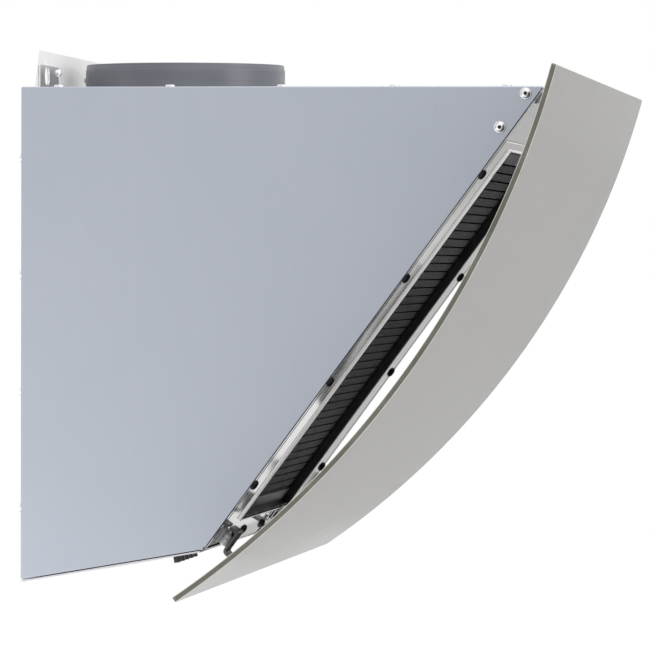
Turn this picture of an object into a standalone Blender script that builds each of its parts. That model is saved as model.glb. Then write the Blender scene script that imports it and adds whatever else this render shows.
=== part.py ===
# Inclined wall-hung extractor hood: narrow sheet-steel body, wide curved glass front.
# Metres, +Z up. X = 0 is the centre line, Y = 0 the wall plane, Z = 0 the body's top.
# The front faces -Y. "Slope" coordinates: s runs down the inclined front from the
# top front corner, h stands out of it.
import math

import bmesh
import bpy
from mathutils import Matrix, Vector

for old in list(bpy.data.objects):
    bpy.data.objects.remove(old)

MM = 0.001

# ---- driving dimensions (mm) -------------------------------------------------------
BODY_WIDTH = 457.0
TOP_DEPTH = 377.0
REAR_HEIGHT = 356.0
FOOT_DEPTH = 132.0       # depth of the underside at its front edge
FOOT_DROP = 333.5        # how far that edge is below the top
SHEET = 1.0
FLANGE = 10.0            # inward flanges of the side panels
GAP = 0.3                # between pieces that touch

GLASS_WIDTH = 898.0
GLASS_RADIUS = 650.0     # outer face
GLASS_THICK = 4.0
GLASS_CENTRE = (224.3, 178.4)
GLASS_FROM, GLASS_TO = 0.265, 0.970   # radians below horizontal

FASCIA_LENGTH = 47.6
OPEN_HALF = 139.5        # filter opening, half width
OPEN_TOP, OPEN_FOOT = 55.6, 388.3     # along the slope
LIP = 1.7                # raised lip around the opening
FRAME_HALF = 214.5
FRAME_TOP, FRAME_FOOT = 48.0, 411.8
FILTER_FACE = -4.0
FILTER_RIM = 1.0         # top of the black wall around the filter
PLEAT_PITCH = 7.6
PLEAT_GROOVE = 1.2

COLLAR_Y = -87.4
COLLAR_RADIUS = 75.0
COLLAR_BORE = 71.5
COLLAR_TOP = 22.3
FLAP_Z = 11.5

HINGE_S, HINGE_H = 9.5, 7.0
HINGE_X = 204.5
CATCH_X = 158.5
HOOK_HALF, HOOK_THICK = 14.0, 2.0
BUTTON_PITCH = 23.1
BUTTON_Y = -87.0
BUTTON_OUT = 8.9
BUTTON_HALF = (2.75, 2.35)           # half width and half depth of a push button
FAN_Y, FAN_Z = -135.0, -128.0
FAN_RADIUS = 62.0

SIDE_SCREWS = ((12.2, -7.8), (42.5, -8.4))            # (s, h)
TOP_RIVETS = [-26.5 - 80.8 * i for i in range(5)]
REAR_RIVETS = [-51.5 - 83.8 * i for i in range(4)]
CLIP_S = [78.0 + 92.3 * i for i in range(4)]
CLIP_X, FOOT_CLIP_X, FOOT_CLIP_S = 208.5, 54.0, 402.5

HALF = BODY_WIDTH / 2
SLOPE = Vector((TOP_DEPTH - FOOT_DEPTH, -FOOT_DROP)).normalized()     # (y, z) down slope
OUT = Vector((SLOPE.y, -SLOPE.x))                                      # outward normal
FOOT = Vector((FOOT_DEPTH, FOOT_DROP - REAR_HEIGHT)).normalized()      # underside, rearward
DOWN = Vector((FOOT.y, -FOOT.x))                                       # underside normal

# ---- frames ------------------------------------------------------------------------
FRONT = Matrix.Translation((0, -TOP_DEPTH * MM, 0)) @ Matrix.Rotation(
    math.pi + math.atan2(SLOPE.y, SLOPE.x), 4, 'X')                    # x, -s, h
PROFILE = Matrix(((0, 0, 1, 0), (1, 0, 0, 0), (0, 1, 0, 0), (0, 0, 0, 1)))   # y, z, x
UNDER = Matrix.Translation((0, 0, -REAR_HEIGHT * MM)) @ Matrix.Rotation(
    math.atan2(FOOT.y, FOOT.x), 4, 'X')                                # x, rearward, up
LEVEL = Matrix.Identity(4)
ALONG_X = Matrix.Rotation(math.pi / 2, 4, 'Y')
UPRIGHT = Matrix.Rotation(math.pi / 2, 4, 'X')                         # x, z, -y


def slope_point(s, h):
    """(y, z) of a point on the inclined front."""
    return (-TOP_DEPTH + s * SLOPE.x + h * OUT.x, s * SLOPE.y + h * OUT.y)


# ---- outlines ----------------------------------------------------------------------
def rect(x0, y0, x1, y1):
    return [(x0, y0), (x1, y0), (x1, y1), (x0, y1)]


def circle(cx, cy, r, n=24):
    return [(cx + r * math.cos(math.tau * i / n), cy + r * math.sin(math.tau * i / n))
            for i in range(n)]


def rounded(points, radii, n=4):
    """Round the corners of a closed outline."""
    if not isinstance(radii, (list, tuple)):
        radii = [radii] * len(points)
    out = []
    for i, p in enumerate(points):
        p, a, b = Vector(p), Vector(points[i - 1]), Vector(points[(i + 1) % len(points)])
        r = radii[i]
        if r <= 0:
            out.append(tuple(p))
            continue
        u, v = (a - p).normalized(), (b - p).normalized()
        half = u.angle(v) / 2
        centre = p + (u + v).normalized() * r / math.sin(half)
        start, end = p + u * r / math.tan(half) - centre, p + v * r / math.tan(half) - centre
        turn = start.angle_signed(end)
        for k in range(n + 1):
            t = -turn * k / n
            c, s = math.cos(t), math.sin(t)
            out.append((centre.x + start.x * c - start.y * s, centre.y + start.x * s + start.y * c))
    return out


def inset(points, d):
    """Move each side of a convex outline inward by its own distance."""
    if not isinstance(d, (list, tuple)):
        d = [d] * len(points)
    mid = sum((Vector(p) for p in points), Vector((0, 0))) / len(points)
    lines = []
    for i, p in enumerate(points):
        p, q = Vector(p), Vector(points[(i + 1) % len(points)])
        along = (q - p).normalized()
        normal = Vector((-along.y, along.x))
        if normal.dot(mid - p) < 0:
            normal = -normal
        lines.append((p + normal * d[i], along))
    out = []
    for i in range(len(points)):
        (p, u), (q, v) = lines[i - 1], lines[i]
        k = ((q - p).x * v.y - (q - p).y * v.x) / (u.x * v.y - u.y * v.x)
        out.append(tuple(p + u * k))
    return out


def bent(path, thick):
    """Closed outline of a bent sheet: an open path and its copy, thick to the left."""
    pts = [Vector(p) for p in path]
    other = []
    for i, p in enumerate(pts):
        u = (p - pts[i - 1]).normalized() if i else (pts[1] - p).normalized()
        v = (pts[i + 1] - p).normalized() if i < len(pts) - 1 else u
        normal = Vector((-(u.y + v.y), u.x + v.x)).normalized()
        cos = max(0.2, normal.dot(Vector((-u.y, u.x))))
        other.append(tuple(p + normal * thick / cos))
    return [tuple(p) for p in pts] + other[::-1]


def arc(cx, cy, r, a0, a1, n):
    return [(cx + r * math.cos(a0 + (a1 - a0) * i / n), cy + r * math.sin(a0 + (a1 - a0) * i / n))
            for i in range(n + 1)]


# ---- solids ------------------------------------------------------------------------
def slab(loops, low, high, edge=0.0, steps=1):
    """Outlines (mm) filled and thickened from low to high, edges rounded by edge."""
    data = bpy.data.curves.new('outline', 'CURVE')
    data.dimensions, data.fill_mode = '2D', 'BOTH'
    data.extrude = ((high - low) / 2 - edge) * MM
    data.bevel_depth, data.bevel_resolution, data.offset = edge * MM, steps, -edge * MM
    for loop in loops:
        spline = data.splines.new('POLY')
        spline.points.add(len(loop) - 1)
        for point, (x, y) in zip(spline.points, loop):
            point.co = (x * MM, y * MM, 0, 1)
        spline.use_cyclic_u = True
    holder = bpy.data.objects.new('outline', data)
    mesh = bpy.data.meshes.new_from_object(holder)
    bpy.data.objects.remove(holder)
    mesh.transform(Matrix.Translation((0, 0, (low + high) / 2 * MM)))
    bm = bmesh.new()
    bm.from_mesh(mesh)
    bmesh.ops.remove_doubles(bm, verts=bm.verts, dist=1e-6)
    bmesh.ops.recalc_face_normals(bm, faces=bm.faces)
    bm.to_mesh(mesh)
    bm.free()
    return mesh


def turned(profile, steps=24, closed=False):
    """Profile of (radius, z) in mm turned about Z; a closed one makes a ring."""
    bm = bmesh.new()
    verts = [bm.verts.new((r * MM, 0, z * MM)) for r, z in profile]
    edges = [bm.edges.new(pair) for pair in zip(verts, verts[1:])]
    if closed:
        edges.append(bm.edges.new((verts[-1], verts[0])))
    bmesh.ops.spin(bm, geom=verts + edges, cent=(0, 0, 0), axis=(0, 0, 1),
                   angle=math.tau, steps=steps, use_merge=True)
    bmesh.ops.remove_doubles(bm, verts=bm.verts, dist=1e-6)
    bmesh.ops.recalc_face_normals(bm, faces=bm.faces)
    mesh = bpy.data.meshes.new('turned')
    bm.to_mesh(mesh)
    bm.free()
    return mesh


def block(x0, x1, y0, y1, z0, z1):
    """Box between two corners, in mm."""
    bm = bmesh.new()
    bmesh.ops.create_cube(bm, size=1.0)
    mesh = bpy.data.meshes.new('block')
    bm.to_mesh(mesh)
    bm.free()
    mesh.transform(Matrix.Translation(((x0 + x1) / 2 * MM, (y0 + y1) / 2 * MM, (z0 + z1) / 2 * MM))
                   @ Matrix.Diagonal(((x1 - x0) * MM, (y1 - y0) * MM, (z1 - z0) * MM, 1)))
    return mesh


def at(x, y, z, turn=LEVEL):
    return Matrix.Translation((x * MM, y * MM, z * MM)) @ turn


def on_front(x, s, h, turn=LEVEL):
    return FRONT @ at(x, -s, h, turn)


# ---- materials and objects ---------------------------------------------------------
def paint(name, colour, metallic, rough):
    mat = bpy.data.materials.new(name)
    mat.use_nodes = True
    bsdf = mat.node_tree.nodes['Principled BSDF']
    bsdf.inputs['Base Color'].default_value = (*colour, 1)
    bsdf.inputs['Metallic'].default_value = metallic
    bsdf.inputs['Roughness'].default_value = rough
    mat.diffuse_color = (*colour, 1)
    return mat


FINISH = {
    'steel': ((0.46, 0.49, 0.55), 0.9, 0.35),
    'zinc': ((0.42, 0.43, 0.45), 0.9, 0.45),
    'pale': ((0.78, 0.78, 0.76), 0.0, 0.5),
    'chrome': ((0.75, 0.76, 0.78), 1.0, 0.15),
    'grey_plastic': ((0.16, 0.17, 0.19), 0.0, 0.5),
    'black': ((0.02, 0.02, 0.022), 0.0, 0.45),
    'rubber': ((0.04, 0.04, 0.04), 0.0, 0.8),
    'glass': ((0.40, 0.40, 0.39), 0.0, 0.15),
    'white': ((0.85, 0.85, 0.83), 0.0, 0.5),
    'dark_steel': ((0.20, 0.20, 0.20), 0.8, 0.4),
    'lens': ((0.9, 0.9, 0.88), 0.0, 0.2),
}

parts = bpy.data.collections.new('extractor_hood')
cutters = bpy.data.collections.new('cutters')
for group in (parts, cutters):
    bpy.context.scene.collection.children.link(group)
cutters.hide_render = True


def node(name, pieces, finish, place=LEVEL, smooth=False, steps=(), origin=None):
    """One named sub-part; pieces are meshes or (mesh, matrix) in the frame of place.

    steps are ('cut' or 'add', tool) in order, with each tool like a piece.
    origin, a matrix, puts the object's own origin there, on its joint axis."""
    bm = bmesh.new()
    for piece in pieces:
        mesh, matrix = piece if isinstance(piece, tuple) else (piece, LEVEL)
        copy = mesh.copy()
        copy.transform(matrix)
        bm.from_mesh(copy)
        bpy.data.meshes.remove(copy)
    if origin is not None:
        bm.transform(origin.inverted() @ place)
    mesh = bpy.data.meshes.new(name)
    for face in bm.faces:
        face.smooth = smooth
    bm.to_mesh(mesh)
    bm.free()
    if smooth:
        mesh.set_sharp_from_angle(angle=math.radians(35))
    mesh.materials.append(paint(name, *FINISH[finish]))
    ob = bpy.data.objects.new(name, mesh)
    parts.objects.link(ob)
    base = place if origin is None else origin
    ob.matrix_world = base
    for i, (kind, tool) in enumerate(steps):
        tool_mesh, matrix = tool if isinstance(tool, tuple) else (tool, LEVEL)
        cutter = bpy.data.objects.new(f'{name}_{kind}_{i}', tool_mesh.copy())
        cutters.objects.link(cutter)
        cutter.matrix_world = place @ matrix
        cutter.display_type, cutter.hide_render = 'WIRE', True
        mod = ob.modifiers.new(cutter.name, 'BOOLEAN')
        mod.operation = {'cut': 'DIFFERENCE', 'add': 'UNION'}[kind]
        mod.solver, mod.object = 'EXACT', cutter
    return ob


# ==== body shell ====================================================================
A, B = (0.0, 0.0), (-TOP_DEPTH, 0.0)
C, D = (-FOOT_DEPTH, -FOOT_DROP), (0.0, -REAR_HEIGHT)
SKIN = inset([A, B, C, D], [0, 0, 1.6, 0])            # the underside sheet goes below
RELIEF = (C[0] - 1.2, C[1] + 2.5)                     # bend relief at the lower front corner


def gather(pieces):
    """Several solids as one mesh."""
    bm = bmesh.new()
    for mesh, matrix in pieces:
        copy = mesh.copy()
        copy.transform(matrix)
        bm.from_mesh(copy)
    mesh = bpy.data.meshes.new('group')
    bm.to_mesh(mesh)
    bm.free()
    return mesh


RIVET = turned([(0, 1.5), (3.0, 1.5), (3.5, 1.1), (3.5, -0.4), (0, -0.4)], 12)


def side_panel(name, sign):
    """Flanged tray with its row of rivet heads along the top and rear flanges."""
    low, high = sorted((sign * HALF, sign * (HALF - FLANGE)))
    tray = slab([rounded(SKIN, 1.5)], low, high, 1.0, 1)
    face = sign * (HALF - SHEET)
    core = slab([inset(SKIN, SHEET)], *sorted((face, face - sign * FLANGE)))
    holes = [(turned([(0, 4), (1.9, 4), (1.9, -4), (0, -4)], 12),
              at(*slope_point(s, h), sign * HALF)) for s, h in SIDE_SCREWS]
    holes.append((turned([(0, 4), (1.1, 4), (1.1, -4), (0, -4)], 8),
                  at(*RELIEF, sign * HALF)))
    x = sign * (HALF - 5)
    heads = [(RIVET, at(y, 0, x, Matrix.Rotation(-math.pi / 2, 4, 'X'))) for y in TOP_RIVETS]
    heads += [(RIVET, at(0, z, x, Matrix.Rotation(math.pi / 2, 4, 'Y'))) for z in REAR_RIVETS]
    node(name, [tray], 'steel', PROFILE, True,
         steps=[('cut', core), ('cut', gather(holes)), ('add', gather(heads))])


side_panel('side_panel_left', -1)
side_panel('side_panel_right', 1)

# top panel, under the side flanges
wide = HALF - SHEET - GAP
top_low, top_high = -2 * SHEET - GAP, -SHEET - GAP
holes = [circle(0, COLLAR_Y, COLLAR_BORE, 48), circle(150, -32, 6.3, 16)]
front_y = -TOP_DEPTH + 6.5
node('top_panel', [slab([rect(-wide, front_y, wide, -SHEET - GAP)] + holes, top_low, top_high)],
     'steel')

# rear panel, inside the side flanges
node('rear_panel', [slab([rect(-wide, -REAR_HEIGHT + 4.6, wide, top_low - GAP)],
                         SHEET + GAP, 2 * SHEET + GAP)], 'steel', UPRIGHT)

# underside, below the side panels, with holes for the keys and two lamps
LAMP_X, LAMP_BACK = 150.0, 68.0
foot_length = Vector((FOOT_DEPTH, FOOT_DROP - REAR_HEIGHT)).length
key_back = -BUTTON_Y / FOOT.x                         # distance from the rear edge
holes = [rect(-58.5, -key_back - 8, 58.5, -key_back + 8)]
holes += [circle(s * LAMP_X, -LAMP_BACK, 27.3, 24) for s in (-1, 1)]
node('bottom_panel', [slab([rounded(rect(-HALF, -foot_length + 1.5, HALF, -0.3), 1.0, 3)] + holes,
                           0, 1.2)], 'steel', UNDER)

# fascia: inclined strip with a return flange over the top
path = rounded([slope_point(FASCIA_LENGTH, 0), B, (-350.0, 0.0)], [0, 1.5, 0], 4)
fascia = slab([bent(path[::-1], SHEET)], -HALF + FLANGE + 0.5, HALF - FLANGE - 0.5)
slot = block(-8, 8, -14.6, -4.6, -3, 3)
node('front_fascia', [fascia], 'steel', PROFILE, False,
     steps=[('cut', (slot, PROFILE.inverted() @ FRONT @ at(s * (HINGE_X - 1), 0, 0)))
            for s in (-1, 1)])

# front frame: shallow tray around the filter opening, with a raised lip
# corner notches for the catches: (x, s) of their outline, with a slanting upper edge
NOTCH = [(220, 391.2), (199.5, 392.9), (89.0, 404.9), (66.0, 407.2), (62.0, 411.0), (62.0, 420),
         (220, 420)]
tray = slab([rounded(rect(-FRAME_HALF, -FRAME_FOOT, FRAME_HALF, -FRAME_TOP), 2.0, 2)],
            -9.0, 0.0, 0.8, 1)
core = slab([rect(-FRAME_HALF + SHEET, -FRAME_FOOT + SHEET, FRAME_HALF - SHEET,
                  -FRAME_TOP - SHEET)], -9.5, -SHEET)
opening = rect(-OPEN_HALF, -OPEN_FOOT, OPEN_HALF, -OPEN_TOP)
lip = [rect(-OPEN_HALF - SHEET, -OPEN_FOOT - SHEET, OPEN_HALF + SHEET, -OPEN_TOP + SHEET), opening]
notches = gather([(slab([[(s * x, -v) for x, v in NOTCH]], -12, 4), LEVEL) for s in (-1, 1)])
clip_spots = [(s * CLIP_X, v) for v in CLIP_S for s in (-1, 1)]
clip_spots += [(s * FOOT_CLIP_X, FOOT_CLIP_S) for s in (-1, 1)]
# domed push-in fasteners along the frame's edges, joined with it
clip = turned([(0, 2.2), (2.6, 1.95), (3.9, 0.9), (4.0, -0.5), (0, -0.5)], 10)
clips = gather([(clip, at(x, -s, 0)) for x, s in clip_spots])
node('front_frame', [tray], 'steel', FRONT, True,
     steps=[('cut', core), ('add', slab(lip, -12.0, LIP)), ('cut', slab([opening], -20, 4)),
            ('cut', notches), ('add', clips)])

# hexagon-socket button screws and washers that hold the hinge brackets
screw = turned([(0, 1.2), (1.2, 1.2), (1.2, 2.9), (2.6, 2.6), (3.6, 0.9), (4.3, 0.7), (4.3, 0.3),
                (1.6, 0.3), (1.6, -4.6), (0, -4.6)], 14)
for name, sign in (('left', -1), ('right', 1)):
    for place, (s, h) in zip(('upper', 'lower'), SIDE_SCREWS):
        y, z = slope_point(s, h)
        node(f'side_screw_{name}_{place}', [screw], 'chrome',
             at(sign * HALF, y, z, Matrix.Rotation(sign * math.pi / 2, 4, 'Y')), True)

# ==== wall bracket ==================================================================
KEY_X, KEY_Z, KEY_R = 126.0, 11.0, 7.0
BRACKET_FOOT, BRACKET_TOP, BRACKET_THICK = 175.0, 156.0, 1.2
PLATE_BACK, PLATE_FACE = 1.5, 2.4                     # hanger plates, off the wall
PLATE_X = (72.0, 158.4)
HANGER_SCREW = (77.0, 14.2)


def obround(x, z, half, r):
    """Hole with round ends, half is half the distance between their centres."""
    return (arc(x + half, z, r, -math.pi / 2, math.pi / 2, 9)
            + arc(x - half, z, r, math.pi / 2, math.pi * 1.5, 9))


def keyhole(x, z, half, r, slot, up):
    """Obround hole with a narrow slot rising from it."""
    return (arc(x, up, slot, 0, math.pi, 6)
            + [(x - slot, z + r + 0.3)] + arc(x - half, z, r, math.pi / 2, math.pi * 1.5, 9)
            + arc(x + half, z, r, -math.pi / 2, math.pi / 2, 9) + [(x + slot, z + r + 0.3)])


ear = rounded([(-BRACKET_FOOT, -1.0), (BRACKET_FOOT, -1.0), (BRACKET_TOP, 29.0),
               (-BRACKET_TOP, 29.0)], [0, 0, 2.0, 2.0], 3)
leaf = block(-BRACKET_FOOT + 1.5, BRACKET_FOOT - 1.5, -6.5, -0.4, -0.9, 0.6)
holes = [keyhole(s * KEY_X, KEY_Z, 3.0, KEY_R, 2.2, 22.8) for s in (-1, 1)]
node('wall_bracket', [slab([ear] + holes, 0.0, BRACKET_THICK)], 'pale', UPRIGHT,
     steps=[('add', (leaf, UPRIGHT.inverted()))])
bolt = turned([(0, 2.6), (2.4, 2.2), (3.0, 0.3), (1.6, 0.3), (1.6, -0.6), (0, -0.6)], 10)
for name, sign in (('left', -1), ('right', 1)):
    low, high = sorted(sign * x for x in PLATE_X)
    outline = rounded(rect(low, 0.9, high, 18.8), 1.5, 3)
    hole = obround(sign * KEY_X, KEY_Z, 4.0, 6.6)
    node(f'hanger_plate_{name}', [slab([outline, hole, circle(sign * HANGER_SCREW[0],
                                                              HANGER_SCREW[1], 1.9, 10)],
                                       PLATE_BACK, PLATE_FACE)], 'zinc', UPRIGHT)
    node(f'hanger_screw_{name}', [bolt], 'chrome',
         UPRIGHT @ at(sign * HANGER_SCREW[0], HANGER_SCREW[1], PLATE_FACE), True)

# ==== duct collar and back-draught flaps ===============================================
ring = [(COLLAR_BORE, COLLAR_TOP), (COLLAR_RADIUS - 1.0, COLLAR_TOP),
        (COLLAR_RADIUS, COLLAR_TOP - 4.4), (COLLAR_RADIUS, 1.0), (80.0, 1.0), (80.0, -1.0),
        (COLLAR_BORE, -1.0)]
pin_hole = turned([(0, 73.6), (1.8, 73.6), (1.8, -90), (0, -90)], 8)
node('duct_collar', [turned(ring, 64, closed=True)], 'grey_plastic', at(0, COLLAR_Y, 0), True,
     steps=[('cut', (pin_hole, at(0, 0, FLAP_Z) @ UPRIGHT))])
pin = turned([(0, 73.2), (1.5, 72.9), (1.5, -75.4), (2.2, -75.4), (2.2, -76.8), (0, -77.2)], 10)
node('damper_pin', [(pin, UPRIGHT)], 'pale', at(0, COLLAR_Y, FLAP_Z), True)
FLAP_R = COLLAR_BORE - 1.2
for name, sign in (('damper_flap_left', -1), ('damper_flap_right', 1)):
    start = math.asin(3.4 / FLAP_R)
    half = arc(0, 0, FLAP_R, -math.pi / 2 + start, math.pi / 2 - start, 20)
    if sign < 0:
        half = [(-x, y) for x, y in half][::-1]
    plate = slab([half], -0.6, 0.6)
    barrel = slab([circle(0, 0, 2.9, 10), circle(0, 0, 1.65, 10)], -7, 7)
    # the left flap's barrels sit outside, the right flap's between them
    spots = (-44, 44) if sign < 0 else (-14, 14)
    arms = [(block(*sorted((sign * 2.4, sign * 3.6)), s - 7, s + 7, -0.6, 0.6), LEVEL)
            for s in spots]
    node(name, [plate], 'grey_plastic', at(0, COLLAR_Y, FLAP_Z), True,
         steps=[('add', gather([(barrel, at(0, s, 0) @ UPRIGHT) for s in spots])),
                ('add', gather(arms))])

# cable grommet at the rear of the top
node('cable_grommet', [(turned([(3.2, 2.8), (7.2, 2.8), (8.4, 1.8), (8.4, top_high + 0.3),
                                (6.0, top_high + 0.3), (6.0, top_low - 0.3),
                                (7.8, top_low - 0.3), (7.2, top_low - 2.2), (3.2, top_low - 2.2)],
                               14, closed=True), LEVEL)], 'rubber', at(150, -32, 0), True)

# ==== grease filter =================================================================
RAIL, RIM = 12.0, 1.2
fx, f0, f1 = OPEN_HALF - 0.8, OPEN_TOP + 0.8, OPEN_FOOT - 0.8
border = rect(-fx, -f1, fx, -f0)
node('filter_frame', [slab([border, rect(-fx + RAIL, -f1 + RAIL, fx - RAIL, -f0 - RAIL)],
                           FILTER_FACE - 9.0, FILTER_FACE, 0.6, 0)], 'dark_steel', FRONT,
     steps=[('add', slab([border, rect(-fx + RIM, -f1 + RIM, fx - RIM, -f0 - RIM)],
                         FILTER_FACE - 8.0, FILTER_RIM))])
# flat-topped pleats with narrow grooves between them
path = []
count = int((f1 - f0 - 2 * RAIL - 2) / PLEAT_PITCH)
start = (f0 + f1) / 2 - count * PLEAT_PITCH / 2
flat = PLEAT_PITCH - PLEAT_GROOVE
for i in range(count):
    s = start + i * PLEAT_PITCH
    path += [(-s, -4.8), (-s - flat, -4.8), (-s - flat - 0.2, -11.0),
             (-s - PLEAT_PITCH + 0.2, -11.0)]
path += [(-start - count * PLEAT_PITCH, -4.8), (-start - count * PLEAT_PITCH - 1.0, -4.8)]
rib = slab([bent(path, 0.8)], -fx + RAIL + 0.5, fx - RAIL - 0.5)
node('filter_pleats', [(rib, LEVEL)], 'black', FRONT @ PROFILE)
# slide latch of the filter, on the frame's lower border
LATCH_X = 100.0
node('latch_plate', [slab([rounded(rect(LATCH_X - 16, -400.5, LATCH_X + 16, -390.2), 2.0, 3)],
                          0.3, 1.5)], 'chrome', FRONT)
knob = slab([rounded(rect(-7, -2.6, 7, 3.4), 1.6, 2)], 1.8, 4.6, 0.5, 0)
tongue = block(-5, 5, 3.2, 9.4, 1.8, 3.0)
node('filter_latch', [knob], 'chrome', on_front(LATCH_X, 396.0, 0), steps=[('add', tongue)])

# ==== underside controls and lamps ==================================================
key_frame = UNDER @ at(0, -key_back, 0)
bezel = [rounded(rect(-62, -11, 62, 11), 4.0, 4)]
bx, by = BUTTON_HALF
shaft = rounded(rect(-bx - 0.35, -by - 0.35, bx + 0.35, by + 0.35), 1.1, 2)
shafts = [[(x + BUTTON_PITCH * i, y) for x, y in shaft] for i in range(-2, 3)]
guide = rounded(rect(-58.0, -7.5, 58.0, 7.5), 2.0, 3)
node('button_housing', [slab(bezel, -2.6, -0.3, 0.5, 1)], 'black', key_frame,
     steps=[('add', slab([guide], -1.5, 9.0))]
     + [('cut', gather([(slab([hole], -5, 12), LEVEL) for hole in shafts]))])
for i in range(5):
    x = BUTTON_PITCH * (i - 2)
    cap = slab([rounded(rect(-bx, -by, bx, by), 0.9, 2)], -BUTTON_OUT, 12.5, 0.4, 0)
    node(f'button_{i + 1}', [cap], 'black', key_frame @ at(x, 0, 0))
node('control_box', [slab([rounded(rect(-72, -24, 72, 30), 3.0, 3)], 18.0, 44.0)], 'white',
     key_frame, steps=[('cut', slab([rounded(rect(-70, -22, 70, 28), 2.0, 3)], 20.0, 50.0))])
node('control_lid', [slab([rounded(rect(-72, -24, 72, 30), 3.0, 3)], 44.3, 46.0)], 'white',
     key_frame)

bezel = turned([(22.3, -1.7), (28.6, -1.7), (31.2, -0.3), (26.6, -0.3), (26.6, 12.0),
                (24.4, 12.0), (24.4, 1.0), (22.3, 1.0)], 24, closed=True)
lens = turned([(0, -0.7), (22.0, -0.7), (22.0, 1.3), (24.1, 1.3), (24.1, 3.2), (0, 3.2)], 24)
for name, sign in (('left', -1), ('right', 1)):
    spot = UNDER @ at(sign * LAMP_X, -LAMP_BACK, 0)
    node(f'lamp_ring_{name}', [bezel], 'chrome', spot, True)
    node(f'lamp_lens_{name}', [lens], 'lens', spot, True)

# ==== blower ========================================================================
# Scroll: the casing's wall drifts away from the wheel towards the outlet at the top.
def scroll(grow):
    pts = []
    for i in range(21):
        a = math.radians(60 + 285 * i / 20)
        r = 70 + 25 * i / 20 + grow
        pts.append((FAN_Y + r * math.cos(a), FAN_Z + r * math.sin(a)))
    return pts


outer = scroll(2.0)
outer += [(-27.0, -60.0), (-25.0, -3.0), (-149.0, -3.0), (-149.0, -22.0), (-104.0, -48.0)]
inner = scroll(0.0)
inner += [(-29.0, -60.5), (-27.0, -1.0), (-147.0, -1.0), (-147.0, -23.0), (-101.5, -50.0)]
inlets = turned([(0, 60), (52, 60), (52, -60), (0, -60)], 24)
inlet = turned([(48, 3.5), (53.5, -1.0), (56, -1.0), (56, 1.0), (50, 3.5)], 24, closed=True)
flip = Matrix.Rotation(math.pi, 4, 'X')
rings = gather([(inlet, at(FAN_Y, FAN_Z, -51.0)), (inlet, at(FAN_Y, FAN_Z, 51.0, flip))])
node('blower_scroll', [slab([outer], -52, 52)], 'black', PROFILE, False,
     steps=[('cut', slab([inner], -50, 50)), ('cut', (inlets, at(FAN_Y, FAN_Z, 0))),
            ('add', rings)])
blades = []
blade = slab([bent([(44.0, 2.0), (52.0, 3.2), (61.0, 9.0)], 1.0)], -39, 39)
for i in range(18):
    blades.append((blade, Matrix.Rotation(math.tau * i / 18, 4, 'Z')))
disc = turned([(3.3, 1.2), (62.5, 1.2), (62.5, -1.2), (3.3, -1.2)], 24, closed=True)
rims = [(turned([(43.5, 1.5), (62.5, 1.5), (62.5, -1.5), (43.5, -1.5)], 24, closed=True),
         at(0, 0, z)) for z in (-39.5, 39.5)]
hub = turned([(3.3, 12), (9, 12), (9, -12), (3.3, -12)], 12, closed=True)
fan_frame = at(0, FAN_Y, FAN_Z) @ PROFILE
node('fan_wheel', [disc], 'zinc', fan_frame, True,
     steps=[('add', gather(blades)), ('add', gather(rims + [(hub, LEVEL)]))])
node('motor_shaft', [turned([(0, 20), (3.0, 20), (3.0, -58), (0, -58)], 16)], 'chrome',
     fan_frame, True)
motor = turned([(0, -58.5), (3.2, -58.5), (3.2, -22), (12, -22), (14, -24.5), (30, -24.5),
                (34, -28), (34, -72), (30, -76), (0, -76)], 20)
node('motor_can', [motor], 'zinc', fan_frame, True)
band = turned([(34.9, -59.0), (36.9, -59.0), (36.9, -64.0), (34.9, -64.0)], 20, closed=True)
node('motor_bracket', [band], 'zinc', fan_frame, True,
     steps=[('add', gather([(slab([rect(-4, 36.0, 4, 72)], -63.0, -60.6),
                             Matrix.Rotation(math.radians(a), 4, 'Z')) for a in (30, 150, 270)]))])
node('capacitor', [(turned([(0, 24), (12, 24), (13, 23), (13, -24), (0, -24)], 20), LEVEL)],
     'white', at(150, -60, -60) @ UPRIGHT, True)

# ==== glass front ===================================================================
def glass_point(radius, angle):
    return (GLASS_CENTRE[0] - radius * math.cos(angle), GLASS_CENTRE[1] - radius * math.sin(angle))


steps = 28
angles = [GLASS_FROM + (GLASS_TO - GLASS_FROM) * i / steps for i in range(steps + 1)]
tip = 0.5 / GLASS_RADIUS
outer = [glass_point(GLASS_RADIUS, a) for a in [angles[0] + tip] + angles[1:-1] + [angles[-1] - tip]]
inner = [glass_point(GLASS_RADIUS - GLASS_THICK, a)
         for a in [angles[0] + tip] + angles[1:-1] + [angles[-1] - tip]]
ends = [glass_point(GLASS_RADIUS - k, a) for k, a in
        ((0.5, angles[-1]), (GLASS_THICK - 0.5, angles[-1]),
         (GLASS_THICK - 0.5, angles[0]), (0.5, angles[0]))]
hinge_y, hinge_z = slope_point(HINGE_S, HINGE_H)
HINGE = at(0, hinge_y, hinge_z)
outline = outer + ends[:2] + inner[::-1] + ends[2:]
node('glass_panel', [slab([outline], -GLASS_WIDTH / 2, GLASS_WIDTH / 2, 0.4, 0)], 'glass',
     PROFILE, True, origin=HINGE)


def behind_glass(s):
    """Height h of the glass's inner face over the slope at s."""
    foot = Vector(slope_point(s, 0)) - Vector(GLASS_CENTRE)
    b, c = foot.dot(OUT), foot.dot(foot) - (GLASS_RADIUS - GLASS_THICK) ** 2
    return -b + math.sqrt(b * b - c)


def under_glass(s0, s1, gap, thick, n=4):
    """Outline, in (-s, h), of a plate that follows the glass's inner face."""
    ss = [s0 + (s1 - s0) * i / n for i in range(n + 1)]
    return ([(-s, behind_glass(s) - gap) for s in ss]
            + [(-s, behind_glass(s) - gap - thick) for s in reversed(ss)])


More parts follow.
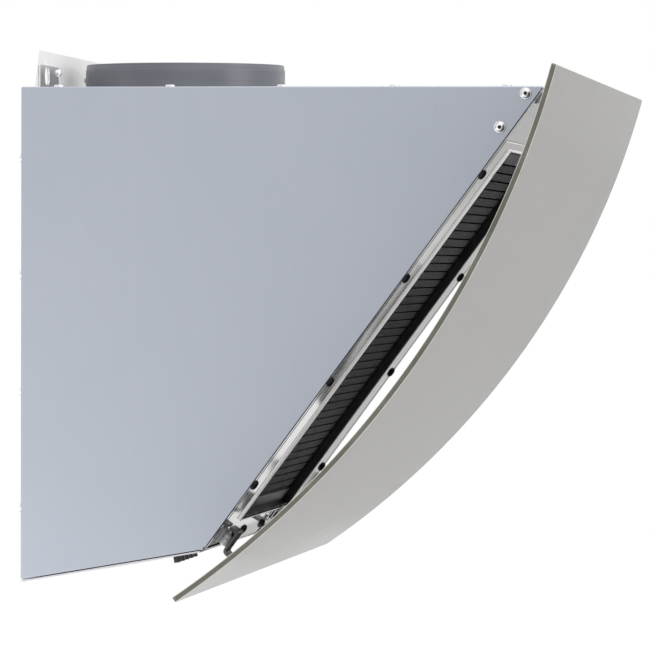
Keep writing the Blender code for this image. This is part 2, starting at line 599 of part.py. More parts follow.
SIDEWAYS = FRONT @ PROFILE                       # local (-s, h), x
for name, sign in (('left', -1), ('right', 1)):
    # fixed bracket: ear on the side panel, leaf behind the fascia, eye through the slot
    def across(a, b):
        return sorted((sign * a, sign * b))
    ear = slab([rounded([(-4.6, -1.3), (-13.4, -13.5), (-47.6, -13.5), (-47.6, -1.3)],
                        [0, 2, 3, 0], 3)], *across(HALF - SHEET - GAP, HALF - SHEET - GAP - 2))
    leaf = slab([rect(-46.8, -3.4, -6.6, -1.6)], *across(HALF - SHEET - GAP - 0.9, HINGE_X - 9.5))
    eye = slab([arc(-HINGE_S, HINGE_H, 3.9, 0, math.pi, 8) + [(-HINGE_S - 3.9, -2.6),
                                                              (-HINGE_S + 3.9, -2.6)]],
               *across(HINGE_X - 1.5, HINGE_X + 1.5))
    bore = slab([circle(-HINGE_S, HINGE_H, 2.42, 16)], *across(HINGE_X - 4, HINGE_X + 4))
    bolts = [slab([circle(-s, h, 1.9, 12)], *across(HALF - 5, HALF + 2)) for s, h in SIDE_SCREWS]
    node(f'hinge_bracket_{name}', [ear], 'zinc', SIDEWAYS,
         steps=[('add', leaf), ('add', eye), ('cut', bore)] + [('cut', b) for b in bolts])
    # moving arm: plate under the glass with two eyes either side of the fixed one
    base = slab([under_glass(1.5, 24.0, 1.3, 2.0)], *across(HINGE_X - 14, HINGE_X + 14))
    cheeks, bores = [], []
    for low, high in ((2.0, 4.5), (-4.5, -2.0)):
        top = behind_glass(HINGE_S) - 2.2
        cheeks.append((slab([arc(-HINGE_S, HINGE_H, 4.4, math.pi, 2 * math.pi, 8)
                             + [(-HINGE_S + 6.0, top), (-HINGE_S - 9.0, top)]],
                            *across(HINGE_X + low, HINGE_X + high)), LEVEL))
    node(f'hinge_arm_{name}', [base], 'chrome', SIDEWAYS, origin=HINGE,
         steps=[('add', gather(cheeks)),
                ('cut', slab([circle(-HINGE_S, HINGE_H, 2.65, 16)],
                             *across(HINGE_X - 6, HINGE_X + 6)))])
    # hook: leaf over the frame's edge, web along the slope, foot under the glass
    cx = sign * CATCH_X
    web = [(-393.4, 0.8), (-393.4, 7.4), (-394.6, 8.6), (-409.8, 8.6), (-411.3, 10.0),
           (-411.9, behind_glass(411.9) - 5.4), (-410.4, behind_glass(410.4) - 3.3),
           (-398.0, behind_glass(398.0) - 3.3)]
    hook = slab([bent(web, HOOK_THICK)], cx - HOOK_HALF, cx + HOOK_HALF)
    node(f'catch_hook_{name}', [hook], 'dark_steel', SIDEWAYS, origin=HINGE)
    # catch: plate in the notch, low side walls of its clip, sprung plunger along the slope
    plate = slab([rect(-412.5, -3.6, -393.0, -2.4)], *across(140.0, HALF - 2.0))
    outer_wall = rounded([(-408.5, -3.0), (-407.5, 0.4), (-397.0, 0.4), (-396.0, -3.0)],
                         [0, 1, 1, 0], 2)
    low_wall = rect(-408.8, -3.0, -395.6, -1.4)
    walls = gather([(slab([outer_wall], *across(CATCH_X + 16.2, CATCH_X + 17.8)), LEVEL),
                    (slab([low_wall], *across(CATCH_X + 22.0, CATCH_X + 24.0)), LEVEL),
                    (slab([low_wall], *across(CATCH_X - 14.0, CATCH_X - 12.4)), LEVEL)])
    node(f'catch_housing_{name}', [plate], 'zinc', SIDEWAYS, steps=[('add', walls)])
    along = on_front(cx, 396.8, 2.3, Matrix.Rotation(math.pi / 2, 4, 'X'))
    plunger = turned([(0, 12.4), (3.2, 12.2), (3.5, 11.8), (3.5, 6.8), (3.0, 6.6), (3.0, 6.1),
                      (3.4, 5.9), (3.4, 3.2), (2.2, 3.0), (2.2, 0.4), (1.8, 0), (0, 0)], 16)
    node(f'catch_plunger_{name}', [plunger], 'chrome', along, True)

pivot = turned([(0, 5.6), (2.3, 5.3), (2.3, -5.3), (0, -5.6)], 16)
for name, sign in (('left', -1), ('right', 1)):
    node(f'hinge_pin_{name}', [(pivot, Matrix.Translation((sign * HINGE_X * MM, 0, 0)) @ ALONG_X)],
         'chrome', HINGE, True)
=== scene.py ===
import math

import bmesh
import bpy
from mathutils import Matrix, Vector

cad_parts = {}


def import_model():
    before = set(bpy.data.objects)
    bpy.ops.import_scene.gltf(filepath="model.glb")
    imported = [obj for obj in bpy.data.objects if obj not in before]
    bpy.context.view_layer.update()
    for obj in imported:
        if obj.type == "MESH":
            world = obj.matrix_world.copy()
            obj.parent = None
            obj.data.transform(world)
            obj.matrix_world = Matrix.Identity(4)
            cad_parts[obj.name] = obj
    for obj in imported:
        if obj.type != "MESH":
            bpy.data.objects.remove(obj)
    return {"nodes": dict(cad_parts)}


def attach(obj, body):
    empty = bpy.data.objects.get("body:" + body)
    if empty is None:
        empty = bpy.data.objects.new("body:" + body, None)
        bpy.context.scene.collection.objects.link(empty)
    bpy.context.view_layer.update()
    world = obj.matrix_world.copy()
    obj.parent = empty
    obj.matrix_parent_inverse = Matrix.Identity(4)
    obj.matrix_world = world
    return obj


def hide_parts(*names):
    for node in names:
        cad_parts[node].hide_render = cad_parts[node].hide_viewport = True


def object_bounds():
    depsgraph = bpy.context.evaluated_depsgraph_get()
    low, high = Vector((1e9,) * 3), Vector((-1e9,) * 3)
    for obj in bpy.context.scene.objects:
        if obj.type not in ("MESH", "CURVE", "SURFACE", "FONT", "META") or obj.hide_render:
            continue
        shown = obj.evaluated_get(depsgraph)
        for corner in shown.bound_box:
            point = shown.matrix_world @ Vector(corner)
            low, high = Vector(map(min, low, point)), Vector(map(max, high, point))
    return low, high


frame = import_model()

cad_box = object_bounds()
MM = 0.001

# ==== dimensions shared with the CAD, in mm =========================================
BODY_WIDTH = 457.0
TOP_DEPTH, REAR_HEIGHT = 377.0, 356.0
FOOT_DEPTH, FOOT_DROP = 132.0, 333.5
SHEET, FLANGE, GAP = 1.0, 10.0, 0.3
GLASS_WIDTH, GLASS_RADIUS, GLASS_THICK = 898.0, 650.0, 4.0
GLASS_CENTRE = (224.3, 178.4)
GLASS_FROM, GLASS_TO = 0.265, 0.970
FASCIA_LENGTH = 47.6
OPEN_HALF, OPEN_TOP, OPEN_FOOT, LIP = 139.5, 55.6, 388.3, 1.7
FRAME_HALF, FRAME_TOP, FRAME_FOOT = 214.5, 48.0, 411.8
FILTER_FACE, FILTER_RIM, RAIL, RIM = -4.0, 1.0, 12.0, 1.2
PLEAT_PITCH, PLEAT_GROOVE = 7.6, 1.2
COLLAR_Y, COLLAR_RADIUS, COLLAR_BORE, COLLAR_TOP = -87.4, 75.0, 71.5, 22.3
FLAP_Z = 11.5
HINGE_S, HINGE_H, HINGE_X = 9.5, 7.0, 204.5
CATCH_X, HOOK_HALF, HOOK_THICK = 158.5, 14.0, 2.0
BUTTON_PITCH, BUTTON_Y, BUTTON_OUT = 23.1, -87.0, 8.9
BUTTON_HALF = (2.75, 2.35)
LAMP_X, LAMP_BACK = 150.0, 68.0
SIDE_SCREWS = ((12.2, -7.8), (42.5, -8.4))
TOP_RIVETS = [-26.5 - 80.8 * i for i in range(5)]
REAR_RIVETS = [-51.5 - 83.8 * i for i in range(4)]
PLUG_S = [78.0 + 92.3 * i for i in range(4)]
PLUG_X, FOOT_PLUG_X, FOOT_PLUG_S = 208.5, 54.0, 402.5
KEYHOLE_X, KEYHOLE_Z, KEYHOLE_R = 126.0, 11.0, 7.0
BRACKET_FOOT, BRACKET_TOP, BRACKET_THICK = 175.0, 156.0, 1.2
PLATE_BACK, PLATE_FACE, PLATE_X = 1.5, 2.4, (72.0, 158.4)
HANGER_SCREW = (77.0, 14.2)
NOTCH = [(220, 391.2), (199.5, 392.9), (89.0, 404.9), (66.0, 407.2), (62.0, 411.0), (62.0, 420),
         (220, 420)]
LATCH_X, LATCH_S = 100.0, 396.0
CABLE_X, CABLE_Y, CABLE_HOLE = 150.0, -32.0, 6.3
LAMP_HOLE, SCREW_HOLE = 27.3, 1.9
PIN_R, PIN_BORE, ARM_BORE = 2.3, 2.42, 2.65
PLUNGER_S, PLUNGER_H = 396.8, 2.3
FLOOR_RADIUS, FLOOR_DROP = 12.0, 1.5                                   # metres
NEAR_CARD_X, FAR_CARD_X = 0.457, 6.2                                   # metres
SIDES = (('left', -1), ('right', 1))

HALF = BODY_WIDTH / 2
SLOPE = Vector((TOP_DEPTH - FOOT_DEPTH, -FOOT_DROP)).normalized()
OUT = Vector((SLOPE.y, -SLOPE.x))
FOOT = Vector((FOOT_DEPTH, FOOT_DROP - REAR_HEIGHT)).normalized()
KEY_BACK = -BUTTON_Y / FOOT.x

# frames, each mapping its own mm coordinates into the row frame
LEVEL = Matrix.Identity(4)
FRONT = Matrix.Translation((0, -TOP_DEPTH * MM, 0)) @ Matrix.Rotation(
    math.pi + math.atan2(SLOPE.y, SLOPE.x), 4, 'X')                    # x, -s, h
PROFILE = Matrix(((0, 0, 1, 0), (1, 0, 0, 0), (0, 1, 0, 0), (0, 0, 0, 1)))   # y, z, x
UNDER = Matrix.Translation((0, 0, -REAR_HEIGHT * MM)) @ Matrix.Rotation(
    math.atan2(FOOT.y, FOOT.x), 4, 'X')                                # x, rearward, up
UPRIGHT = Matrix.Rotation(math.pi / 2, 4, 'X')                         # x, z, -y
ALONG_X = Matrix.Rotation(math.pi / 2, 4, 'Y')
SIDEWAYS = FRONT @ PROFILE                                             # -s, h, x


def at(x, y, z, turn=LEVEL):
    """Place in mm, after a turn."""
    return Matrix.Translation((x * MM, y * MM, z * MM)) @ turn


def slope_point(s, h):
    """(y, z) of a point on the inclined front: s down it, h out of it."""
    return (-TOP_DEPTH + s * SLOPE.x + h * OUT.x, s * SLOPE.y + h * OUT.y)


# ==== outlines ======================================================================
def rect(x0, y0, x1, y1):
    return [(x0, y0), (x1, y0), (x1, y1), (x0, y1)]


def arc(cx, cy, r, a0, a1, n):
    """n equal steps from angle a0 to a1."""
    return [(cx + r * math.cos(a0 + (a1 - a0) * i / n), cy + r * math.sin(a0 + (a1 - a0) * i / n))
            for i in range(n + 1)]


def circle(cx, cy, r, n=64):
    return arc(cx, cy, r, 0, math.tau * (n - 1) / n, n - 1)


def rounded(points, radii, n=6, closed=True):
    """Round the corners of an outline, or of an open path."""
    if not isinstance(radii, (list, tuple)):
        radii = [radii] * len(points)
    out = []
    for i, p in enumerate(points):
        p, r = Vector(p), radii[i]
        if r <= 0 or (not closed and i in (0, len(points) - 1)):
            out.append(tuple(p))
            continue
        u = (Vector(points[i - 1]) - p).normalized()
        v = (Vector(points[(i + 1) % len(points)]) - p).normalized()
        half = u.angle(v) / 2
        centre = p + (u + v).normalized() * r / math.sin(half)
        start, end = p + u * r / math.tan(half) - centre, p + v * r / math.tan(half) - centre
        turn = start.angle_signed(end)
        for k in range(n + 1):
            c, s = math.cos(-turn * k / n), math.sin(-turn * k / n)
            out.append((centre.x + start.x * c - start.y * s, centre.y + start.x * s + start.y * c))
    return out


def inset(points, d):
    """Move each side of a convex outline inward by its own distance."""
    if not isinstance(d, (list, tuple)):
        d = [d] * len(points)
    mid = sum((Vector(p) for p in points), Vector((0, 0))) / len(points)
    lines = []
    for i, p in enumerate(points):
        p, q = Vector(p), Vector(points[(i + 1) % len(points)])
        along = (q - p).normalized()
        normal = Vector((-along.y, along.x))
        if normal.dot(mid - p) < 0:
            normal = -normal
        lines.append((p + normal * d[i], along))
    out = []
    for i in range(len(points)):
        (p, u), (q, v) = lines[i - 1], lines[i]
        k = ((q - p).x * v.y - (q - p).y * v.x) / (u.x * v.y - u.y * v.x)
        out.append(tuple(p + u * k))
    return out


def bent(path, thick):
    """Closed outline of a bent sheet: an open path and its copy, thick to the left."""
    pts = [Vector(p) for p in path]
    other = []
    for i, p in enumerate(pts):
        u = (p - pts[i - 1]).normalized() if i else (pts[1] - p).normalized()
        v = (pts[i + 1] - p).normalized() if i < len(pts) - 1 else u
        normal = Vector((-(u.y + v.y), u.x + v.x)).normalized()
        cos = max(0.2, normal.dot(Vector((-u.y, u.x))))
        other.append(tuple(p + normal * thick / cos))
    return [tuple(p) for p in pts] + other[::-1]


def signed_area(loop):
    return sum(a[0] * b[1] - b[0] * a[1] for a, b in zip(loop, loop[1:] + loop[:1])) / 2


# ==== solids ========================================================================
def clean(bm, name):
    """The bmesh welded, with its normals out, as a mesh."""
    bmesh.ops.remove_doubles(bm, verts=bm.verts, dist=1e-6)
    bmesh.ops.recalc_face_normals(bm, faces=bm.faces)
    mesh = bpy.data.meshes.new(name)
    bm.to_mesh(mesh)
    bm.free()
    return mesh


def slab(loops, low, high, edge=0.0, steps=2):
    """Outlines (mm) filled and thickened from low to high, with edges rounded by edge.
    The first loop is the outside and the others are holes."""
    data = bpy.data.curves.new('outline', 'CURVE')
    data.dimensions, data.fill_mode = '2D', 'BOTH'
    data.extrude = ((high - low) / 2 - edge) * MM
    data.bevel_depth, data.bevel_resolution, data.offset = edge * MM, steps, -edge * MM
    for i, loop in enumerate(loops):
        if (signed_area(loop) > 0) == (i > 0):
            loop = loop[::-1]
        spline = data.splines.new('POLY')
        spline.points.add(len(loop) - 1)
        for point, (x, y) in zip(spline.points, loop):
            point.co = (x * MM, y * MM, 0, 1)
        spline.use_cyclic_u = True
    holder = bpy.data.objects.new('outline', data)
    mesh = bpy.data.meshes.new_from_object(holder)
    bpy.data.objects.remove(holder)
    mesh.transform(Matrix.Translation((0, 0, (low + high) / 2 * MM)))
    bm = bmesh.new()
    bm.from_mesh(mesh)
    return clean(bm, 'slab')


def turned(profile, steps=48, closed=False):
    """Profile of (radius, z) in mm turned about Z; a closed one makes a ring."""
    bm = bmesh.new()
    verts = [bm.verts.new((r * MM, 0, z * MM)) for r, z in profile]
    edges = [bm.edges.new(pair) for pair in zip(verts, verts[1:])]
    if closed:
        edges.append(bm.edges.new((verts[-1], verts[0])))
    bmesh.ops.spin(bm, geom=verts + edges, cent=(0, 0, 0), axis=(0, 0, 1),
                   angle=math.tau, steps=steps, use_merge=True)
    return clean(bm, 'turned')


def block(x0, x1, y0, y1, z0, z1, edge=0.0):
    """Box between two corners, in mm, with rounded edges."""
    bm = bmesh.new()
    bmesh.ops.create_cube(bm, size=1.0, matrix=at((x0 + x1) / 2, (y0 + y1) / 2, (z0 + z1) / 2)
                          @ Matrix.Diagonal(((x1 - x0) * MM, (y1 - y0) * MM, (z1 - z0) * MM, 1)))
    if edge:
        bmesh.ops.bevel(bm, geom=bm.edges, offset=edge * MM, segments=3, profile=0.5,
                        affect='EDGES')
    return clean(bm, 'block')


def gather(pieces):
    """Meshes, or (mesh, matrix) pairs, as one mesh that keeps their material indices."""
    bm = bmesh.new()
    for piece in pieces:
        mesh, matrix = piece if isinstance(piece, tuple) else (piece, LEVEL)
        copy = mesh.copy()
        copy.transform(matrix)
        bm.from_mesh(copy)
        bpy.data.meshes.remove(copy)
    mesh = bpy.data.meshes.new('group')
    bm.to_mesh(mesh)
    bm.free()
    return mesh


def carve(mesh, tools, operation='DIFFERENCE'):
    """The mesh with the tools cut away, joined on or shared, as a new mesh."""
    target = bpy.data.objects.new('target', mesh)
    tool = bpy.data.objects.new('tool', gather(tools))
    for ob in (target, tool):
        bpy.context.scene.collection.objects.link(ob)
    mod = target.modifiers.new('carve', 'BOOLEAN')
    mod.operation, mod.solver, mod.object = operation, 'EXACT', tool
    depsgraph = bpy.context.evaluated_depsgraph_get()
    result = bpy.data.meshes.new_from_object(target.evaluated_get(depsgraph))
    for ob in (target, tool):
        bpy.data.objects.remove(ob)
    return result


# ==== materials =====================================================================
class Finish:
    """A Principled material whose colour, roughness and surface vary by noise in the
    object's own space."""

    def __init__(self, name, colour, metallic=0.0, rough=0.5, **sockets):
        self.material = bpy.data.materials.new(name)
        self.material.use_nodes = True
        self.tree = self.material.node_tree
        self.tree.nodes.clear()
        self.shader = self.add('ShaderNodeBsdfPrincipled')
        output = self.add('ShaderNodeOutputMaterial')
        self.link(self.shader.outputs[0], output.inputs['Surface'])
        self.shader.inputs['Base Color'].default_value = (*colour, 1)
        self.shader.inputs['Metallic'].default_value = metallic
        self.shader.inputs['Roughness'].default_value = rough
        for socket, value in sockets.items():
            self.shader.inputs[socket.replace('_', ' ')].default_value = value
        self.material.diffuse_color = (*colour, 1)
        self.colour = colour
        self.place = self.add('ShaderNodeTexCoord').outputs['Object']

    def add(self, kind):
        return self.tree.nodes.new(kind)

    def link(self, source, target):
        self.tree.links.new(source, target)

    def spread(self, stretch, turn=0.0):
        """Coordinates scaled per axis, turned about X first."""
        mapping = self.add('ShaderNodeMapping')
        mapping.vector_type = 'TEXTURE'
        mapping.inputs['Rotation'].default_value = (turn, 0, 0)
        mapping.inputs['Scale'].default_value = [1 / v for v in stretch]
        self.link(self.place, mapping.inputs['Vector'])
        return mapping.outputs[0]

    def noise(self, stretch, detail=2.0, turn=0.0):
        """Noise with so many cells per metre along each axis."""
        if not isinstance(stretch, tuple):
            stretch = (stretch,) * 3
        noise = self.add('ShaderNodeTexNoise')
        noise.inputs['Scale'].default_value = 1.0
        noise.inputs['Detail'].default_value = detail
        self.link(self.spread(stretch, turn), noise.inputs['Vector'])
        return noise.outputs['Fac']

    def cells(self, stretch):
        """Voronoi cells: one random colour each."""
        voronoi = self.add('ShaderNodeTexVoronoi')
        voronoi.inputs['Scale'].default_value = 1.0
        self.link(self.spread((stretch,) * 3), voronoi.inputs['Vector'])
        return voronoi

    def waves(self, stretch, turn, distortion):
        """Bands across X, wavering by distortion."""
        wave = self.add('ShaderNodeTexWave')
        wave.bands_direction = 'X'
        wave.inputs['Scale'].default_value = 1.0
        wave.inputs['Distortion'].default_value = distortion
        self.link(self.spread(stretch, turn), wave.inputs['Vector'])
        return wave.outputs['Fac']

    def ramp(self, source, low, high):
        """source from its middle range to low..high, clamped."""
        span = self.add('ShaderNodeMapRange')
        span.inputs['From Min'].default_value, span.inputs['From Max'].default_value = 0.3, 0.7
        span.inputs['To Min'].default_value, span.inputs['To Max'].default_value = low, high
        self.link(source, span.inputs['Value'])
        return span.outputs['Result']

    def tint(self, source, low, high):
        """Colour between low and high by source, multiplied onto what is there."""
        mix = self.add('ShaderNodeMix')
        mix.data_type = 'RGBA'
        mix.inputs['A'].default_value, mix.inputs['B'].default_value = (*low, 1), (*high, 1)
        self.link(self.ramp(source, 0, 1), mix.inputs['Factor'])
        target = self.shader.inputs['Base Color']
        result = mix.outputs['Result']
        times = self.add('ShaderNodeMix')
        times.data_type, times.blend_type = 'RGBA', 'MULTIPLY'
        times.inputs['Factor'].default_value = 1.0
        if target.links:
            self.link(target.links[0].from_socket, times.inputs['A'])
        else:
            times.inputs['A'].default_value = (*self.colour, 1)
        self.link(result, times.inputs['B'])
        self.link(times.outputs['Result'], target)
        return self

    def rough(self, source, low, high):
        self.link(self.ramp(source, low, high), self.shader.inputs['Roughness'])
        return self

    def bump(self, source, depth):
        """Relief of so many metres between the source's 0 and 1."""
        bump = self.add('ShaderNodeBump')
        bump.inputs['Distance'].default_value = depth
        target = self.shader.inputs['Normal']
        if target.links:
            self.link(target.links[0].from_socket, bump.inputs['Normal'])
        self.link(source, bump.inputs['Height'])
        self.link(bump.outputs[0], target)
        return self


SLOPE_TURN = math.pi + math.atan2(SLOPE.y, SLOPE.x)


def brushed(name, colour, rough, grain, depth=3e-6, metallic=1.0, contrast=1.0):
    """Brushed or rolled sheet: fine grain drawn out along one axis, with faint clouding."""
    fine = tuple(25.0 if axis == grain else 2600.0 for axis in 'XYZ')
    broad = tuple(3.0 if axis == grain else 260.0 for axis in 'XYZ')
    finish = Finish(name, colour, metallic, rough)
    streak, band = finish.noise(fine, 3.0), finish.noise(broad, 2.0)
    finish.tint(streak, (1 - 0.06 * contrast,) * 3, (1 + 0.06 * contrast,) * 3)
    finish.tint(band, (1 - 0.025 * contrast,) * 3, (1 + 0.02 * contrast,) * 3)
    finish.tint(finish.noise(9.0, 3.0), (0.985, 0.9875, 0.99), (1.01, 1.0075, 1.005))
    finish.rough(streak, rough * (1 - 0.18 * contrast), rough * (1 + 0.2 * contrast))
    return finish.bump(streak, depth).material


def moulded(name, colour, rough, grain=900.0, depth=1.5e-5, mottle=0.1):
    """Moulded or coated surface: fine spark texture, slight mottling and handling marks."""
    finish = Finish(name, colour, 0.0, rough)
    spark = finish.noise(grain, 3.0)
    finish.tint(finish.noise(60.0, 3.0), (1 - mottle,) * 3, (1 + mottle,) * 3)
    finish.rough(finish.noise(110.0, 4.0), rough * 0.85, rough * 1.2)
    return finish.bump(spark, depth).material


def galvanised(name, colour, rough):
    """Zinc-coated sheet: spangle crystals with their own tone and gloss."""
    finish = Finish(name, colour, 1.0, rough)
    crystals = finish.cells(150.0)
    finish.tint(crystals.outputs['Distance'], (1.05,) * 3, (0.85,) * 3)
    tone = finish.add('ShaderNodeSeparateColor')
    finish.link(crystals.outputs['Color'], tone.inputs[0])
    finish.tint(tone.outputs[0], (0.86,) * 3, (1.12,) * 3)
    finish.rough(tone.outputs[1], rough * 0.75, rough * 1.3)
    return finish.bump(finish.noise(700.0, 2.0), 4e-6).material


def bright(name, colour, rough, metallic=1.0):
    """Plated or turned metal: handling haze over a faint tooth."""
    finish = Finish(name, colour, metallic, rough)
    finish.rough(finish.noise(350.0, 4.0), rough * 0.7, rough * 1.5)
    finish.tint(finish.noise(80.0, 2.0), (0.94,) * 3, (1.04,) * 3)
    return finish.bump(finish.noise(1500.0, 2.0), 2e-6).material


BODY_STEEL = brushed('body_steel', (0.445, 0.475, 0.535), 0.40, 'Z', depth=4e-7, contrast=0.2)
TOP_STEEL = brushed('top_steel', (0.56, 0.575, 0.61), 0.34, 'X')
FRONT_STEEL = brushed('front_steel', (0.82, 0.815, 0.805), 0.055, 'X', depth=5e-8, contrast=0.4)
# painted shade: a darker copy of the front steel for the fascia, standing for the dimmer reflection
# it shows in the narrow gap under the glass
FASCIA_STEEL_PAINTED_SHADE = brushed('fascia_steel_painted_shade', (0.60, 0.60, 0.615), 0.10, 'X', depth=5e-8, contrast=0.4)
FOOT_STEEL = brushed('underside_steel', (0.66, 0.665, 0.68), 0.27, 'X')
ZINC = galvanised('zinc', (0.50, 0.51, 0.53), 0.38)
BRACKET = moulded('bracket_coat', (0.80, 0.80, 0.79), 0.38, 420.0, 1e-6, 0.02)
PLATE_ZINC = brushed('plate_zinc', (0.93, 0.93, 0.94), 0.32, 'X', depth=2e-7, contrast=0.5)
BRIGHT = bright('bright_metal', (0.82, 0.82, 0.83), 0.26)
CHROME = bright('satin_plating', (0.90, 0.90, 0.91), 0.36, 0.25)
CATCH_ZINC = bright('catch_zinc', (0.62, 0.62, 0.63), 0.45, 0.4)
RIVET_METAL = bright('rivet_metal', (0.80, 0.80, 0.82), 0.28)
# painted shade: near-black metal for the faces within screw sockets, standing for the shade in the
# recess
SOCKET_PAINTED_SHADE = bright('socket_painted_shade', (0.06, 0.06, 0.065), 0.4)
HOOK_STEEL = brushed('hook_steel', (0.16, 0.155, 0.15), 0.45, 'X', depth=1e-6)
RUBBER = moulded('rubber', (0.025, 0.025, 0.026), 0.75, 1400.0, 3e-5)
BLACK = moulded('black_plastic', (0.018, 0.018, 0.020), 0.42)
PLUG_BLACK = moulded('plug_plastic', (0.035, 0.035, 0.037), 0.30)
WHITE = moulded('white_plastic', (0.78, 0.78, 0.76), 0.45)


def collar_plastic():
    """Grey polypropylene with faint drag lines round the wall."""
    finish = Finish('collar_plastic', (0.14, 0.146, 0.170), 0.0, 0.33)
    rings = finish.noise((6.0, 6.0, 900.0), 3.0)
    finish.tint(rings, (0.86, 0.86, 0.87), (1.12, 1.11, 1.09))
    finish.tint(finish.noise(30.0, 3.0), (0.93,) * 3, (1.06,) * 3)
    finish.rough(finish.noise(200.0, 3.0), 0.30, 0.38)
    return finish.bump(rings, 3e-6).bump(finish.noise(1500.0, 2.0), 3e-6).material


def painted_glass(name, colour, rough, coat):
    """Enamel behind glass: an even colour under a clear polished surface."""
    finish = Finish(name, colour, 0.0, rough, Coat_Weight=coat, Coat_Roughness=0.03,
                    Coat_IOR=1.5)
    finish.tint(finish.noise(2.2, 2.0), (0.965, 0.965, 0.97), (1.03, 1.03, 1.025))
    finish.rough(finish.noise(14.0, 3.0), rough * 0.92, rough * 1.08)
    return finish.material


def glass_edge(name, low, high, rough):
    """Ground and polished edge: olive depth with fine wheel lines across the thickness."""
    finish = Finish(name, (1.0, 1.0, 1.0), 0.0, rough)
    finish.tint(finish.noise((200.0, 40.0, 40.0), 3.0), low, high)
    finish.rough(finish.noise(500.0, 3.0), rough * 0.7, rough * 1.4)
    return finish.bump(finish.noise((4000.0, 30.0, 30.0), 2.0), 3e-6).material


COLLAR = collar_plastic()
GLASS_FACE = painted_glass('glass_face', (0.23, 0.225, 0.218), 0.10, 0.0)
GLASS_BACK = painted_glass('glass_back', (0.022, 0.022, 0.022), 0.05, 1.0)
GLASS_EDGE = glass_edge('glass_edge', (0.085, 0.082, 0.066), (0.135, 0.13, 0.108), 0.22)
GLASS_ARRIS = glass_edge('glass_arris', (0.42, 0.41, 0.36), (0.55, 0.54, 0.49), 0.35)


def filter_mesh():
    """Black pleated metal mesh: woven strands over dark folds."""
    finish = Finish('filter_mesh', (0.028, 0.027, 0.026), 0.55, 0.42)
    strands = finish.waves((520.0, 1.0, 1.0), SLOPE_TURN, 1.5)
    finish.tint(finish.noise((160.0, 900.0, 900.0), 4.0, SLOPE_TURN), (0.35,) * 3, (1.9,) * 3)
    finish.tint(finish.noise(45.0, 3.0), (0.6,) * 3, (1.5,) * 3)
    finish.rough(finish.noise(700.0, 3.0), 0.3, 0.6)
    return finish.bump(strands, 6e-5).bump(finish.noise(1400.0, 3.0), 6e-5).material


FILTER_MESH = filter_mesh()
FILTER_RAIL = brushed('filter_rail', (0.075, 0.070, 0.064), 0.36, 'X', metallic=0.7)
# near-black for the filter's black rim wall and side rails, and painted shade on the groove walls and
# valleys of the folds
FILTER_BLACK_AND_FOLD_SHADE = moulded('filter_black_and_fold_shade', (0.012, 0.012, 0.013), 0.4)


def lamp_lens():
    """Frosted cover with a fine cellular relief."""
    finish = Finish('lamp_lens', (0.86, 0.86, 0.83), 0.0, 0.25, Coat_Weight=0.6,
                    Coat_Roughness=0.08)
    dots = finish.cells(450.0)
    finish.tint(dots.outputs['Distance'], (1.05,) * 3, (0.88, 0.88, 0.9))
    finish.rough(finish.noise(200.0, 2.0), 0.2, 0.34)
    return finish.bump(dots.outputs['Distance'], 8e-5).material


LENS = lamp_lens()


# ==== pieces ========================================================================
def piece(name, mesh, materials, body, slot, nodes=(), sharp=40.0):
    """One visible piece on a CAD body, standing for the CAD nodes that it covers."""
    materials = materials if isinstance(materials, list) else [materials]
    mesh.name = name
    for material in materials:
        mesh.materials.append(material)
    mesh.shade_smooth()
    mesh.set_sharp_from_angle(angle=math.radians(sharp))
    ob = bpy.data.objects.new(name, mesh)
    bpy.context.scene.collection.objects.link(ob)
    ob.modifiers.new('flat_faces', 'WEIGHTED_NORMAL').keep_sharp = True
    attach(ob, body)
    if nodes:
        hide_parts(*nodes)
    return ob


def smooth_group():
    """Node group that shades smooth every edge flatter than a limit."""
    tree = bpy.data.node_groups.new('shade_by_angle', 'GeometryNodeTree')
    tree.interface.new_socket('Geometry', in_out='INPUT', socket_type='NodeSocketGeometry')
    tree.interface.new_socket('Geometry', in_out='OUTPUT', socket_type='NodeSocketGeometry')
    add, link = tree.nodes.new, tree.links.new
    start, end = add('NodeGroupInput'), add('NodeGroupOutput')
    angle, limit = add('GeometryNodeInputMeshEdgeAngle'), add('FunctionNodeCompare')
    limit.operation = 'LESS_THAN'
    limit.inputs['B'].default_value = math.radians(32)
    faces, edges = add('GeometryNodeSetShadeSmooth'), add('GeometryNodeSetShadeSmooth')
    faces.domain, edges.domain = 'FACE', 'EDGE'
    link(angle.outputs['Unsigned Angle'], limit.inputs['A'])
    link(start.outputs[0], faces.inputs['Geometry'])
    link(faces.outputs[0], edges.inputs['Geometry'])
    link(limit.outputs[0], edges.inputs['Shade Smooth'])
    link(edges.outputs[0], end.inputs[0])
    return tree


SMOOTH_GROUP = smooth_group()


def keep(node, material, edge=0.3):
    """A CAD node that stays: a better material, eased edges and smooth curved faces."""
    ob = frame["nodes"][node]
    ob.data.materials.clear()
    ob.data.materials.append(material)
    weld = ob.modifiers.new('weld', 'WELD')
    weld.merge_threshold = 1e-6
    if edge:
        ease = ob.modifiers.new('ease', 'BEVEL')
        ease.width, ease.segments = edge * MM, 2
        ease.limit_method, ease.angle_limit = 'ANGLE', math.radians(40)
    ob.modifiers.new('smooth', 'NODES').node_group = SMOOTH_GROUP
    ob.modifiers.new('flat_faces', 'WEIGHTED_NORMAL').keep_sharp = True


A, B = (0.0, 0.0), (-TOP_DEPTH, 0.0)
C, D = (-FOOT_DEPTH, -FOOT_DROP), (0.0, -REAR_HEIGHT)
SKIN = inset([A, B, C, D], [0, 0, 1.6, 0])
RELIEF = (C[0] - 1.2, C[1] + 2.5)


